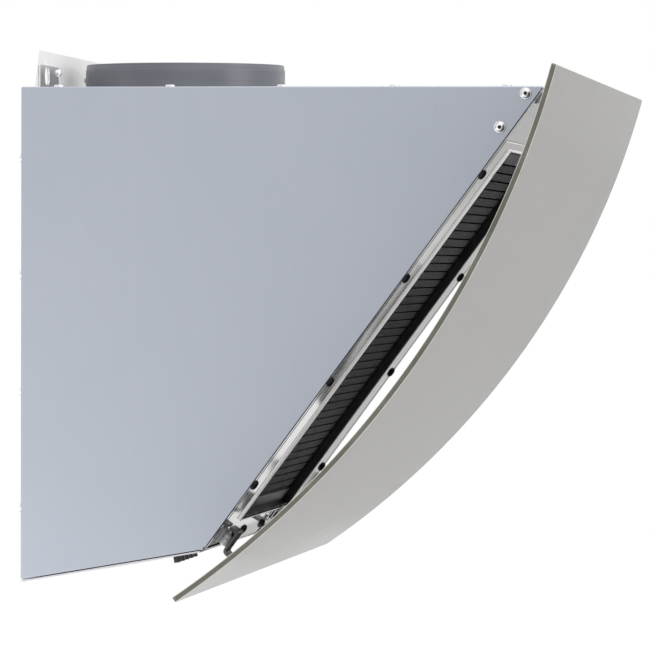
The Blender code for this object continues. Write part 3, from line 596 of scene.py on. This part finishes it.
# ---- body shell --------------------------------------------------------------------
def side_skin(name, sign):
    """Flanged side tray with eased bends, screw holes and the corner relief hole."""
    low, high = sorted((sign * HALF, sign * (HALF - FLANGE)))
    tray = slab([rounded(SKIN, 1.5)], low, high, 1.0, 4)
    face = sign * (HALF - SHEET)
    core = slab([inset(SKIN, SHEET)], *sorted((face, face - sign * FLANGE)))
    holes = [(turned([(0, 4), (SCREW_HOLE, 4), (SCREW_HOLE, -4), (0, -4)], 24),
              at(*slope_point(s, h), sign * HALF)) for s, h in SIDE_SCREWS]
    holes.append((turned([(0, 4), (1.1, 4), (1.1, -4), (0, -4)], 16), at(*RELIEF, sign * HALF)))
    mesh = carve(carve(tray, [core]), holes)
    mesh.transform(PROFILE)
    # the flange beside the front has the front's finish
    for polygon in mesh.polygons:
        inward = abs(polygon.center.x) < (HALF - 1.0) * MM
        outward = polygon.normal.yz.dot(OUT) > 0.95
        polygon.material_index = 1 if inward and outward else 0
    piece(f'side_skin_{name}', mesh, [BODY_STEEL, FRONT_STEEL], 'hood', 'brushed_steel_body',
          [f'side_panel_{name}'])
    # closed-end rivets along the top and rear flanges: a low head with the mandrel's dimple
    rivet = turned([(0, 1.15), (0.6, 1.15), (0.9, 1.46), (2.7, 1.45), (3.2, 1.28), (3.42, 0.9),
                    (3.48, 0.1), (3.48, -0.2), (0, -0.2)], 28)
    x = sign * (HALF - 5)
    heads = [(rivet, at(x, y, 0)) for y in TOP_RIVETS]
    heads += [(rivet, at(x, 0, z, Matrix.Rotation(-math.pi / 2, 4, 'X'))) for z in REAR_RIVETS]
    piece(f'rivets_{name}', gather(heads), RIVET_METAL, 'hood', 'bright_metal')


for side, sign in SIDES:
    side_skin(side, sign)

WIDE = HALF - SHEET - GAP
TOP_LOW, TOP_HIGH = -2 * SHEET - GAP, -SHEET - GAP
top_holes = [circle(0, COLLAR_Y, COLLAR_BORE, 96), circle(CABLE_X, CABLE_Y, CABLE_HOLE, 32)]
piece('top_sheet', slab([rect(-WIDE, -TOP_DEPTH + 6.5, WIDE, -SHEET - GAP)] + top_holes,
                        TOP_LOW, TOP_HIGH, 0.12, 1), TOP_STEEL, 'hood', 'brushed_steel_body',
      ['top_panel'])
rear = slab([rect(-WIDE, -REAR_HEIGHT + 4.6, WIDE, TOP_LOW - GAP)], SHEET + GAP,
            2 * SHEET + GAP, 0.12, 1)
rear.transform(UPRIGHT)
piece('rear_sheet', rear, TOP_STEEL, 'hood', 'brushed_steel_body', ['rear_panel'])

foot_length = Vector((FOOT_DEPTH, FOOT_DROP - REAR_HEIGHT)).length
holes = [rounded(rect(-58.5, -KEY_BACK - 8, 58.5, -KEY_BACK + 8), 0.5)]
holes += [circle(s * LAMP_X, -LAMP_BACK, LAMP_HOLE, 64) for s in (-1, 1)]
foot = slab([rounded(rect(-HALF, -foot_length + 1.5, HALF, -0.3), 1.0, 4)] + holes, 0, 1.2, 0.25, 2)
foot.transform(UNDER)
piece('underside_sheet', foot, FOOT_STEEL, 'hood', 'brushed_steel_body', ['bottom_panel'])


def fascia():
    """Inclined strip bent over the top edge, with two hinge slots."""
    path = rounded([slope_point(FASCIA_LENGTH, 0), B, (-350.0, 0.0)], [0, 1.5, 0], 8, False)
    strip = slab([bent(path[::-1], SHEET)], -HALF + FLANGE + 0.5, HALF - FLANGE - 0.5, 0.15, 1)
    slot = slab([rounded(rect(-8, -14.6, 8, -4.6), 1.0, 4)], -3, 3)
    cuts = [(slot, PROFILE.inverted() @ FRONT @ at(s * (HINGE_X - 1), 0, 0)) for s in (-1, 1)]
    mesh = carve(strip, cuts)
    mesh.transform(PROFILE)
    # the fascia's steel is the front steel darkened as painted shade
    piece('fascia_strip', mesh, FASCIA_STEEL_PAINTED_SHADE, 'hood', 'front_steel', ['front_fascia'])


fascia()


def surround():
    """Shallow tray around the filter opening, with a raised lip and two corner notches."""
    tray = slab([rounded(rect(-FRAME_HALF, -FRAME_FOOT, FRAME_HALF, -FRAME_TOP), 2.0)],
                -9.0, 0.0, 0.8, 4)
    core = slab([rect(-FRAME_HALF + SHEET, -FRAME_FOOT + SHEET, FRAME_HALF - SHEET,
                      -FRAME_TOP - SHEET)], -9.5, -SHEET)
    opening = rect(-OPEN_HALF, -OPEN_FOOT, OPEN_HALF, -OPEN_TOP)
    wall = rect(-OPEN_HALF - SHEET, -OPEN_FOOT - SHEET, OPEN_HALF + SHEET, -OPEN_TOP + SHEET)
    lip = slab([wall, opening], -12.0, LIP, 0.35, 3)
    notches = [slab([[(s * x, -v) for x, v in NOTCH]], -12, 4) for s in (-1, 1)]
    mesh = carve(carve(tray, [core]), [slab([opening], -20, 4)])
    mesh = carve(carve(mesh, [lip], 'UNION'), notches)
    mesh.transform(FRONT)
    piece('filter_surround', mesh, FRONT_STEEL, 'hood', 'front_steel', ['front_frame'])
    plug = turned([(0, 2.2), (1.2, 2.15), (2.4, 1.9), (3.3, 1.4), (3.85, 0.7), (3.95, 0.05),
                   (0, 0.05)], 32)
    spots = [(s * PLUG_X, v) for v in PLUG_S for s in (-1, 1)]
    spots += [(s * FOOT_PLUG_X, FOOT_PLUG_S) for s in (-1, 1)]
    plugs = gather([(plug, at(x, -s, 0)) for x, s in spots])
    plugs.transform(FRONT)
    piece('frame_plugs', plugs, PLUG_BLACK, 'hood', 'black_plastic')


surround()


def side_screw(name, sign, s, h):
    """Button-head screw with a hexagon socket on a flanged washer."""
    y, z = slope_point(s, h)
    place = at(sign * HALF, y, z, Matrix.Rotation(sign * math.pi / 2, 4, 'Y'))
    head = turned([(0, 2.9), (1.9, 2.85), (2.7, 2.5), (3.3, 1.8), (3.6, 1.0), (3.6, 0.85),
                   (3.9, 0.85), (4.2, 0.75), (4.3, 0.55), (4.3, 0.3), (1.6, 0.3),
                   (1.6, -4.6), (0, -4.6)], 40)
    socket = slab([circle(0, 0, 1.45, 6)], 1.2, 4.0)
    head = carve(head, [socket])
    # faces within the hexagon socket take the near-black metal: painted shade in the recess
    for polygon in head.polygons:
        centre = polygon.center
        shaded_socket = math.hypot(centre.x, centre.y) < 1.5 * MM and 1.1 * MM < centre.z < 2.84 * MM
        polygon.material_index = 1 if shaded_socket else 0
    head.transform(place)
    piece(f'socket_screw_{name}', head, [BRIGHT, SOCKET_PAINTED_SHADE], 'hood', 'bright_metal',
          [f'side_screw_{name}'])


for side, sign in SIDES:
    for level, (s, h) in zip(('upper', 'lower'), SIDE_SCREWS):
        side_screw(f'{side}_{level}', sign, s, h)


# ---- wall bracket ------------------------------------------------------------------
def obround(x, z, half, r):
    """Hole with round ends, half is half the distance between their centres."""
    return (arc(x + half, z, r, -math.pi / 2, math.pi / 2, 20)
            + arc(x - half, z, r, math.pi / 2, math.pi * 1.5, 20))


def keyhole(x, z, half, r, slot, up):
    """Obround hole with a narrow slot rising from it."""
    return (arc(x, up, slot, 0, math.pi, 12)
            + [(x - slot, z + r + 0.3)] + arc(x - half, z, r, math.pi / 2, math.pi * 1.5, 20)
            + arc(x + half, z, r, -math.pi / 2, math.pi / 2, 20) + [(x + slot, z + r + 0.3)])


def bracket():
    ear = rounded([(-BRACKET_FOOT, -1.0), (BRACKET_FOOT, -1.0), (BRACKET_TOP, 29.0),
                   (-BRACKET_TOP, 29.0)], [0, 0, 2.0, 2.0], 5)
    holes = [keyhole(s * KEYHOLE_X, KEYHOLE_Z, 3.0, KEYHOLE_R, 2.2, 22.8) for s in (-1, 1)]
    plate = slab([ear] + holes, 0.0, BRACKET_THICK, 0.2, 2)
    leaf = block(-BRACKET_FOOT + 1.5, BRACKET_FOOT - 1.5, -6.5, -0.4, -0.9, 0.6)
    mesh = carve(plate, [(leaf, UPRIGHT.inverted())], 'UNION')
    mesh.transform(UPRIGHT)
    piece('bracket_plate', mesh, BRACKET, 'hood', 'bracket_paint', ['wall_bracket'])
    screw = turned([(0, 2.55), (1.4, 2.45), (2.3, 2.05), (2.9, 1.2), (3.0, 0.3), (1.6, 0.3),
                    (1.6, -0.6), (0, -0.6)], 32)
    for wide, deep in ((1.5, 0.3), (0.3, 1.5)):
        screw = carve(screw, [block(-wide, wide, -deep, deep, 1.5, 3)])
    x, z = HANGER_SCREW
    for side, sign in SIDES:
        low, high = sorted(sign * v for v in PLATE_X)
        hanger = slab([rounded(rect(low, 0.9, high, 18.8), 1.5),
                       obround(sign * KEYHOLE_X, KEYHOLE_Z, 4.0, 6.6),
                       circle(sign * x, z, SCREW_HOLE, 24)], PLATE_BACK, PLATE_FACE, 0.15, 2)
        hanger.transform(UPRIGHT)
        piece(f'hanger_{side}', hanger, PLATE_ZINC, 'hood', 'zinc_plate', [f'hanger_plate_{side}'])
        copy = screw.copy()
        copy.transform(UPRIGHT @ at(sign * x, z, PLATE_FACE))
        piece(f'bracket_screw_{side}', copy, BRIGHT, 'hood', 'bright_metal',
              [f'hanger_screw_{side}'])


bracket()


# ---- duct collar and flaps ---------------------------------------------------------
def collar():
    """Duct spigot with an eased rim band and a seating flange."""
    top, r, bore = COLLAR_TOP, COLLAR_RADIUS, COLLAR_BORE
    ring = [(bore, top - 0.4), (bore + 0.4, top), (r - 1.7, top)]
    ring += [(r - 1.1 + 0.35 * math.sin(a), top - 0.5 + 0.5 * math.cos(a)) for a in (0.4, 0.9, 1.4)]
    ring += [(r - 0.55, top - 2.2), (r - 0.12, top - 4.0), (r, top - 4.6), (r, 2.2), (r + 0.4, 1.4),
             (r + 1.1, 1.0), (79.5, 1.0), (80.0, 0.6), (80.0, -1.0), (bore, -1.0)]
    body = turned(ring, 160, closed=True)
    pin_hole = turned([(0, 73.6), (1.8, 73.6), (1.8, -90), (0, -90)], 16)
    mesh = carve(body, [(pin_hole, at(0, 0, FLAP_Z) @ UPRIGHT)])
    mesh.transform(at(0, COLLAR_Y, 0))
    piece('collar_ring', mesh, COLLAR, 'hood', 'collar_plastic', ['duct_collar'])


collar()


def flap(side, sign):
    """Half-round damper plate, hung by short arms on two barrels."""
    radius = COLLAR_BORE - 1.2
    start = math.asin(3.4 / radius)
    half = arc(0, 0, radius, -math.pi / 2 + start, math.pi / 2 - start, 48)
    if sign < 0:
        half = [(-x, y) for x, y in half][::-1]
    plate = slab([half], -0.6, 0.6, 0.2, 2)
    barrel = slab([circle(0, 0, 2.9, 24), circle(0, 0, 1.65, 24)], -7, 7, 0.2, 1)
    spots = (-44, 44) if sign < 0 else (-14, 14)
    arms = [block(*sorted((sign * 2.4, sign * 3.6)), s - 7, s + 7, -0.6, 0.6) for s in spots]
    mesh = carve(plate, [(barrel, at(0, s, 0) @ UPRIGHT) for s in spots], 'UNION')
    mesh = carve(mesh, arms, 'UNION')
    mesh.transform(at(0, COLLAR_Y, FLAP_Z))
    piece(f'flap_{side}_plate', mesh, COLLAR, f'flap_{side}', 'collar_plastic',
          [f'damper_flap_{side}'])


for side, sign in SIDES:
    flap(side, sign)
pin = turned([(0, 73.2), (1.5, 72.9), (1.5, -75.4), (2.2, -75.4), (2.2, -76.6), (1.7, -77.0),
              (0, -77.2)], 24)
pin.transform(at(0, COLLAR_Y, FLAP_Z) @ UPRIGHT)
piece('flap_pin', pin, WHITE, 'hood', 'zinc_plate', ['damper_pin'])
grommet = turned(rounded([(3.2, 2.8), (7.2, 2.8), (8.4, 1.8), (8.4, TOP_HIGH + 0.3),
                          (6.0, TOP_HIGH + 0.3), (6.0, TOP_LOW - 0.3), (7.8, TOP_LOW - 0.3),
                          (7.2, TOP_LOW - 2.2), (3.2, TOP_LOW - 2.2)], 0.3, 2), 40, closed=True)
grommet.transform(at(CABLE_X, CABLE_Y, 0))
piece('grommet', grommet, RUBBER, 'hood', 'grommet_rubber', ['cable_grommet'])


# ---- grease filter -----------------------------------------------------------------
def grease_filter():
    """Rail frame with a black rim wall, around mesh in flat-topped folds whose groove walls and
    valleys carry painted shade in near-black.
    """
    fx, f0, f1 = OPEN_HALF - 0.8, OPEN_TOP + 0.8, OPEN_FOOT - 0.8
    face = FILTER_FACE
    outer = rect(-fx, -f1, fx, -f0)
    inner = rect(-fx + RAIL, -f1 + RAIL, fx - RAIL, -f0 - RAIL)
    rails = slab([outer, inner], face - 9.0, face, 0.6, 3)
    rim = slab([outer, rect(-fx + RIM, -f1 + RIM, fx - RIM, -f0 - RIM)], face - 8.0, FILTER_RIM,
               0.3, 2)
    rails = carve(rails, [rim], 'UNION')
    for polygon in rails.polygons:
        x, y, z = polygon.center / MM
        top = -f1 + RIM < y < -f1 + RAIL + 0.1 and abs(x) < fx - RIM and z < face + 0.1
        polygon.material_index = 0 if top else 1
    rails.transform(FRONT)
    piece('filter_rails', rails, [FILTER_RAIL, FILTER_BLACK_AND_FOLD_SHADE], 'hood', 'filter_rail',
          ['filter_frame'])
    count = int((f1 - f0 - 2 * RAIL - 2) / PLEAT_PITCH)
    start = (f0 + f1) / 2 - count * PLEAT_PITCH / 2
    flat = PLEAT_PITCH - PLEAT_GROOVE
    crest, valley, mesh_thick = -4.8, -11.0, 0.8
    path = []
    for i in range(count):
        s = start + i * PLEAT_PITCH
        path += [(-s, crest), (-s - flat, crest), (-s - flat - 0.2, valley),
                 (-s - PLEAT_PITCH + 0.2, valley)]
    end = -start - count * PLEAT_PITCH
    path += [(end, crest), (end - 1.0, crest)]
    radii = [0.45 if h == crest else 0.35 for _, h in path] + [0.2] * len(path)
    rib = slab([rounded(bent(path, mesh_thick), radii, 3)], -fx + RAIL + 0.5, fx - RAIL - 0.5)
    for polygon in rib.polygons:
        # groove walls and valleys below the crests take the near-black: painted shade in the creases
        polygon.material_index = 1 if polygon.center.y < -5.4 * MM else 0
    rib.transform(SIDEWAYS)
    piece('filter_folds', rib, [FILTER_MESH, FILTER_BLACK_AND_FOLD_SHADE], 'hood', 'filter_mesh',
          ['filter_pleats'], 60.0)


grease_filter()
plate = slab([rounded(rect(LATCH_X - 16, -400.5, LATCH_X + 16, -390.2), 2.0)], 0.3, 1.5, 0.3, 3)
plate.transform(FRONT)
piece('latch_bed', plate, BRIGHT, 'hood', 'bright_metal', ['latch_plate'])
knob = slab([rounded(rect(-7, -2.6, 7, 3.4), 1.6)], 1.8, 4.6, 0.7, 4)
grips = [block(-5.5, 5.5, y - 0.25, y + 0.25, 4.2, 5.0) for y in (-1.1, 0.0, 1.1, 2.2)]
knob = carve(carve(knob, grips), [block(-5, 5, 3.2, 9.4, 1.8, 3.0, 0.3)], 'UNION')
knob.transform(FRONT @ at(LATCH_X, -LATCH_S, 0))
piece('latch_knob', knob, BRIGHT, 'latch', 'bright_metal', ['filter_latch'])


# ---- keys, lamps -------------------------------------------------------------------
KEY_FRAME = UNDER @ at(0, -KEY_BACK, 0)


def keys():
    """Bezel with five shafts, and five push buttons with softened tips."""
    hx, hy = BUTTON_HALF
    bezel = slab([rounded(rect(-62, -11, 62, 11), 4.0)], -2.6, -0.3, 0.8, 4)
    guide = slab([rounded(rect(-58, -7.5, 58, 7.5), 2.0)], -1.5, 9.0)
    shaft = rounded(rect(-hx - 0.35, -hy - 0.35, hx + 0.35, hy + 0.35), 1.1, 5)
    shafts = [slab([[(x + BUTTON_PITCH * i, y) for x, y in shaft]], -5, 12) for i in range(-2, 3)]
    mesh = carve(carve(bezel, [guide], 'UNION'), shafts)
    mesh.transform(KEY_FRAME)
    piece('key_bezel', mesh, BLACK, 'hood', 'black_plastic', ['button_housing'])
    for i in range(5):
        cap = slab([rounded(rect(-hx, -hy, hx, hy), 0.9, 5)], -BUTTON_OUT, 12.5, 0.5, 4)
        cap.transform(KEY_FRAME @ at(BUTTON_PITCH * (i - 2), 0, 0))
        piece(f'key_cap_{i + 1}', cap, BLACK, f'key_{i + 1}', 'black_plastic', [f'button_{i + 1}'])


keys()


def lamp(side, sign):
    """Stepped ring with its cover behind it."""
    place = UNDER @ at(sign * LAMP_X, -LAMP_BACK, 0)
    ring = turned(rounded([(22.3, -1.7), (28.6, -1.7), (31.2, -0.3), (26.6, -0.3), (26.6, 12.0),
                           (24.4, 12.0), (24.4, 1.0), (22.3, 1.0)], 0.4, 3), 96, closed=True)
    ring.transform(place)
    piece(f'lamp_bezel_{side}', ring, BRIGHT, 'hood', 'bright_metal', [f'lamp_ring_{side}'])
    lens = turned([(0, -0.7), (16, -0.68), (21.4, -0.5), (21.9, -0.1), (22.0, 1.3), (24.1, 1.3),
                   (24.1, 3.2), (0, 3.2)], 96)
    lens.transform(place)
    piece(f'lamp_cover_{side}', lens, LENS, 'hood', 'lamp_lens', [f'lamp_lens_{side}'])


for side, sign in SIDES:
    lamp(side, sign)


# ---- glass front -------------------------------------------------------------------
def glass_point(radius, angle):
    """(y, z) at an angle below the horizontal through the glass's centre."""
    return (GLASS_CENTRE[0] - radius * math.cos(angle), GLASS_CENTRE[1] - radius * math.sin(angle))


def glass_sheet():
    """Flat blank with softened corners and ground arrises, bent to the radius."""
    length = (GLASS_TO - GLASS_FROM) * GLASS_RADIUS
    blank = slab([rounded(rect(-GLASS_WIDTH / 2, 0, GLASS_WIDTH / 2, length), 2.0)],
                 0.0, GLASS_THICK, 0.45, 0)
    bm = bmesh.new()
    bm.from_mesh(blank)
    bands = 144
    for i in range(1, bands):
        bmesh.ops.bisect_plane(bm, geom=bm.verts[:] + bm.edges[:] + bm.faces[:], dist=1e-7,
                               plane_co=(0, length * MM * i / bands, 0), plane_no=(0, 1, 0))
    for face in bm.faces:
        up = face.normal.z
        face.material_index = 1 if up > 0.9 else 0 if up < -0.9 else 3 if abs(up) > 0.3 else 2
    for vert in bm.verts:
        x, t, depth = vert.co
        angle = GLASS_FROM + t / MM / GLASS_RADIUS
        y, z = glass_point(GLASS_RADIUS - depth / MM, angle)
        vert.co = (x, y * MM, z * MM)
    bmesh.ops.recalc_face_normals(bm, faces=bm.faces)
    mesh = bpy.data.meshes.new('glass')
    bm.to_mesh(mesh)
    bm.free()
    piece('glass_sheet', mesh, [GLASS_FACE, GLASS_BACK, GLASS_EDGE, GLASS_ARRIS], 'glass_front',
          'painted_glass', ['glass_panel'], 25.0)


glass_sheet()


def behind_glass(s):
    """Height h of the glass's inner face over the slope at s."""
    foot = Vector(slope_point(s, 0)) - Vector(GLASS_CENTRE)
    b, c = foot.dot(OUT), foot.dot(foot) - (GLASS_RADIUS - GLASS_THICK) ** 2
    return -b + math.sqrt(b * b - c)


def under_glass(s0, s1, gap, thick, n=10):
    """Outline, in (-s, h), of a plate that follows the glass's inner face."""
    ss = [s0 + (s1 - s0) * i / n for i in range(n + 1)]
    return ([(-s, behind_glass(s) - gap) for s in ss]
            + [(-s, behind_glass(s) - gap - thick) for s in reversed(ss)])


def across(sign, a, b):
    """Range along X from a to b, on one side of the middle."""
    return sorted((sign * a, sign * b))


def hinge(side, sign):
    """Fixed bracket, moving arm and pin."""
    ear = slab([rounded([(-4.6, -1.3), (-13.4, -13.5), (-47.6, -13.5), (-47.6, -1.3)],
                        [0, 2, 3, 0], 5)], *across(sign, WIDE, WIDE - 2), 0.2, 1)
    leaf = slab([rect(-46.8, -3.4, -6.6, -1.6)], *across(sign, WIDE - 0.9, HINGE_X - 9.5))
    eye = slab([arc(-HINGE_S, HINGE_H, 3.9, 0, math.pi, 20) + [(-HINGE_S - 3.9, -2.6),
                                                               (-HINGE_S + 3.9, -2.6)]],
               *across(sign, HINGE_X - 1.5, HINGE_X + 1.5), 0.2, 1)
    bore = slab([circle(-HINGE_S, HINGE_H, PIN_BORE, 32)], *across(sign, HINGE_X - 4, HINGE_X + 4))
    holes = [slab([circle(-s, h, SCREW_HOLE, 24)], *across(sign, HALF - 5, HALF + 2))
             for s, h in SIDE_SCREWS]
    mesh = carve(carve(carve(ear, [leaf], 'UNION'), [eye], 'UNION'), [bore] + holes)
    mesh.transform(SIDEWAYS)
    piece(f'hinge_seat_{side}', mesh, ZINC, 'hood', 'zinc_plate', [f'hinge_bracket_{side}'])
    base = slab([under_glass(1.5, 24.0, 1.3, 2.0)], *across(sign, HINGE_X - 14, HINGE_X + 14), 0.3, 2)
    top = behind_glass(HINGE_S) - 2.2
    cheek = (arc(-HINGE_S, HINGE_H, 4.4, math.pi, 2 * math.pi, 20)
             + [(-HINGE_S + 6.0, top), (-HINGE_S - 9.0, top)])
    cheeks = [slab([cheek], *across(sign, HINGE_X + a, HINGE_X + b), 0.2, 1)
              for a, b in ((2.0, 4.5), (-4.5, -2.0))]
    arm = carve(base, cheeks, 'UNION')
    arm = carve(arm, [slab([circle(-HINGE_S, HINGE_H, ARM_BORE, 32)],
                           *across(sign, HINGE_X - 6, HINGE_X + 6))])
    arm.transform(SIDEWAYS)
    piece(f'hinge_leaf_{side}', arm, BRIGHT, 'glass_front', 'bright_metal', [f'hinge_arm_{side}'])
    y, z = slope_point(HINGE_S, HINGE_H)
    axle = turned([(0, 5.6), (1.9, 5.55), (PIN_R, 5.2), (PIN_R, -5.2), (1.9, -5.55), (0, -5.6)], 32)
    axle.transform(at(sign * HINGE_X, y, z, ALONG_X))
    piece(f'hinge_axle_{side}', axle, BRIGHT, 'hood', 'bright_metal', [f'hinge_pin_{side}'])


def catch(side, sign):
    """Hook on the glass, and the housing with its sprung plunger on the body."""
    cx = sign * CATCH_X
    web = rounded([(-393.4, 0.8), (-393.4, 8.6), (-410.3, 8.6), (-411.9, behind_glass(411.9) - 3.8),
                   (-398.0, behind_glass(398.0) - 3.3)], [0, 1.4, 1.6, 1.2, 0], 5, False)
    hook = slab([bent(web, HOOK_THICK)], cx - HOOK_HALF, cx + HOOK_HALF, 0.3, 2)
    hook.transform(SIDEWAYS)
    piece(f'hook_{side}', hook, HOOK_STEEL, 'glass_front', 'hook_steel', [f'catch_hook_{side}'])
    plate = slab([rect(-412.5, -3.6, -393.0, -2.4)], *across(sign, 140.0, HALF - 2.0), 0.2, 1)
    outer_wall = rounded([(-408.5, -3.0), (-407.5, 0.4), (-397.0, 0.4), (-396.0, -3.0)],
                         [0, 1, 1, 0], 5)
    low_wall = rect(-408.8, -3.0, -395.6, -1.4)
    walls = [slab([outer_wall], *across(sign, CATCH_X + 16.2, CATCH_X + 17.8), 0.2, 1),
             slab([low_wall], *across(sign, CATCH_X + 22.0, CATCH_X + 24.0), 0.2, 1),
             slab([low_wall], *across(sign, CATCH_X - 14.0, CATCH_X - 12.4), 0.2, 1)]
    housing = carve(plate, walls, 'UNION')
    housing.transform(SIDEWAYS)
    piece(f'catch_frame_{side}', housing, CATCH_ZINC, 'hood', 'zinc_plate', [f'catch_housing_{side}'])
    plunger = turned([(0, 12.4), (2.6, 12.35), (3.2, 12.1), (3.45, 11.6), (3.45, 6.9), (3.3, 6.65),
                      (3.0, 6.6), (3.0, 6.1), (3.2, 6.05), (3.35, 5.8), (3.35, 3.4), (3.1, 3.1),
                      (2.2, 3.0), (2.15, 0.5), (1.7, 0.05), (0, 0)], 48)
    plunger.transform(FRONT @ at(cx, -PLUNGER_S, PLUNGER_H, Matrix.Rotation(math.pi / 2, 4, 'X')))
    piece(f'plunger_pin_{side}', plunger, CHROME, f'plunger_{side}', 'bright_metal',
          [f'catch_plunger_{side}'])


for side, sign in SIDES:
    hinge(side, sign)
    catch(side, sign)

# ---- inner parts that stay as they are in CAD --------------------------------------
keep('control_box', WHITE)
keep('control_lid', WHITE)
keep('capacitor', WHITE, 0.4)
keep('blower_scroll', BLACK, 0.25)
keep('fan_wheel', ZINC, 0.0)
keep('motor_can', ZINC, 0.5)
keep('motor_bracket', ZINC, 0.2)
keep('motor_shaft', BRIGHT, 0.3)


# ==== stage, light and camera =======================================================
def stage():
    """Pale floor far below, as under a hood on its wall."""
    bm = bmesh.new()
    bmesh.ops.create_circle(bm, cap_ends=True, segments=96, radius=FLOOR_RADIUS)
    mesh = bpy.data.meshes.new('floor')
    bm.to_mesh(mesh)
    bm.free()
    floor = bpy.data.objects.new('floor', mesh)
    bpy.context.scene.collection.objects.link(floor)
    floor.location.z = cad_box[0].z - FLOOR_DROP
    finish = Finish('floor', (0.86, 0.86, 0.855), 0.0, 0.7)
    finish.tint(finish.noise(3.0, 3.0), (0.99,) * 3, (1.01,) * 3)
    mesh.materials.append(finish.material)


def card(name, outline, place, colour):
    """Upright card across X that only reflections see; its outline is in mm."""
    bm = bmesh.new()
    bm.faces.new([bm.verts.new((0, y * MM, z * MM)) for y, z in outline])
    mesh = bpy.data.meshes.new(name)
    bm.to_mesh(mesh)
    bm.free()
    ob = bpy.data.objects.new(name, mesh)
    bpy.context.scene.collection.objects.link(ob)
    ob.location = place
    finish = Finish(name, colour, 0.0, 0.9)
    finish.tint(finish.noise(2.0, 2.0), (0.99,) * 3, (1.01,) * 3)
    mesh.materials.append(finish.material)
    ob.visible_camera = ob.visible_shadow = ob.visible_diffuse = False


def light(name, at_point, towards, size, power, colour=(1, 1, 1)):
    data = bpy.data.lights.new(name, 'AREA')
    data.shape, data.size, data.size_y = 'RECTANGLE', size[0], size[1]
    data.energy, data.color = power, colour
    ob = bpy.data.objects.new(name, data)
    bpy.context.scene.collection.objects.link(ob)
    ob.location = at_point
    ob.rotation_euler = (Vector(towards) - Vector(at_point)).to_track_quat('-Z', 'Y').to_euler()
    return ob


def world():
    """White studio: full white behind the object, and a soft wrap that dims below."""
    scene_world = bpy.data.worlds.new('studio')
    bpy.context.scene.world = scene_world
    scene_world.use_nodes = True
    tree = scene_world.node_tree
    tree.nodes.clear()
    add, link = tree.nodes.new, tree.links.new
    direction, split = add('ShaderNodeTexCoord'), add('ShaderNodeSeparateXYZ')
    height, wrap = add('ShaderNodeMapRange'), add('ShaderNodeValToRGB')
    link(direction.outputs['Generated'], split.inputs[0])
    link(split.outputs['Z'], height.inputs['Value'])
    height.inputs['From Min'].default_value, height.inputs['From Max'].default_value = -1, 1
    stops = [(0.0, 0.50), (0.44, 0.50), (0.475, 0.95), (0.55, 1.0), (1.0, 1.05)]
    ramp = wrap.color_ramp
    while len(ramp.elements) < len(stops):
        ramp.elements.new(0.5)
    for element, (spot, value) in zip(ramp.elements, stops):
        element.position, element.color = spot, (value, value, value, 1)
    link(height.outputs[0], wrap.inputs[0])
    path, mix = add('ShaderNodeLightPath'), add('ShaderNodeMixShader')
    wrap_light, white = add('ShaderNodeBackground'), add('ShaderNodeBackground')
    link(wrap.outputs[0], wrap_light.inputs[0])
    link(path.outputs['Is Camera Ray'], mix.inputs[0])
    link(wrap_light.outputs[0], mix.inputs[1])
    link(white.outputs[0], mix.inputs[2])
    white.inputs[0].default_value = (1, 1, 1, 1)
    output = add('ShaderNodeOutputWorld')
    link(mix.outputs[0], output.inputs[0])


def camera():
    """Long lens level with the body, looking along the wall at the hood's left side."""
    yaw, pitch, roll = 0.11548, -0.00956, 0.00181
    place = Vector((-4.6198, -0.7294, -0.1283))
    pixels, focal = 650, 6187
    forward = Vector((math.cos(yaw) * math.cos(pitch), math.sin(yaw) * math.cos(pitch),
                      math.sin(pitch)))
    right = forward.cross(Vector((0, 0, 1))).normalized()
    up = right.cross(forward)
    right, up = (right * math.cos(roll) + up * math.sin(roll),
                 up * math.cos(roll) - right * math.sin(roll))
    data = bpy.data.cameras.new('camera')
    data.sensor_width = 36.0
    data.lens = data.sensor_width * focal / pixels
    ob = bpy.data.objects.new('camera', data)
    bpy.context.scene.collection.objects.link(ob)
    turn = Matrix((right, up, -forward)).transposed().to_4x4()
    ob.matrix_world = Matrix.Translation(place) @ turn
    bpy.context.scene.camera = ob


stage()
world()
camera()
# cards past the far end of the glass, in the reflections on the steel strips beside the filter
flag = rounded([slope_point(s, h) for s, h in
                ((189, 52), (214, 44), (218, 34), (331, 34), (339, 39), (337, 41.5), (300, 48),
                 (250, 52))], 1.0, 4)
card('dark_flag', flag, (NEAR_CARD_X, 0, 0), (0.004, 0.004, 0.004))
low_flag = rounded([slope_point(s, h) for s, h in ((384, 21), (386, 6), (425, 6), (425, 19))],
                   3.0, 4)
card('low_flag', low_flag, (NEAR_CARD_X, 0, 0), (0.28, 0.28, 0.28))
grey = [(-2600, -2500), (250, -2500), (250, -150), (-640, -150), (-770, 60), (-2600, 60)]
card('grey_card', rounded(grey, 30, 4), (FAR_CARD_X, 0, 0), (0.50, 0.495, 0.49))
light('key', (-1.35, 0.72, -0.85), (0, -0.05, -0.3), (0.7, 0.7), 5.5, (1.0, 0.995, 0.98))
light('front', (-0.9, -2.7, 0.25), (0, -0.2, -0.05), (1.5, 1.2), 15)
light('top', (-0.6, -1.0, 2.6), (0, -0.2, 0), (2.0, 2.0), 30)
bpy.context.scene.view_settings.view_transform = 'Standard'
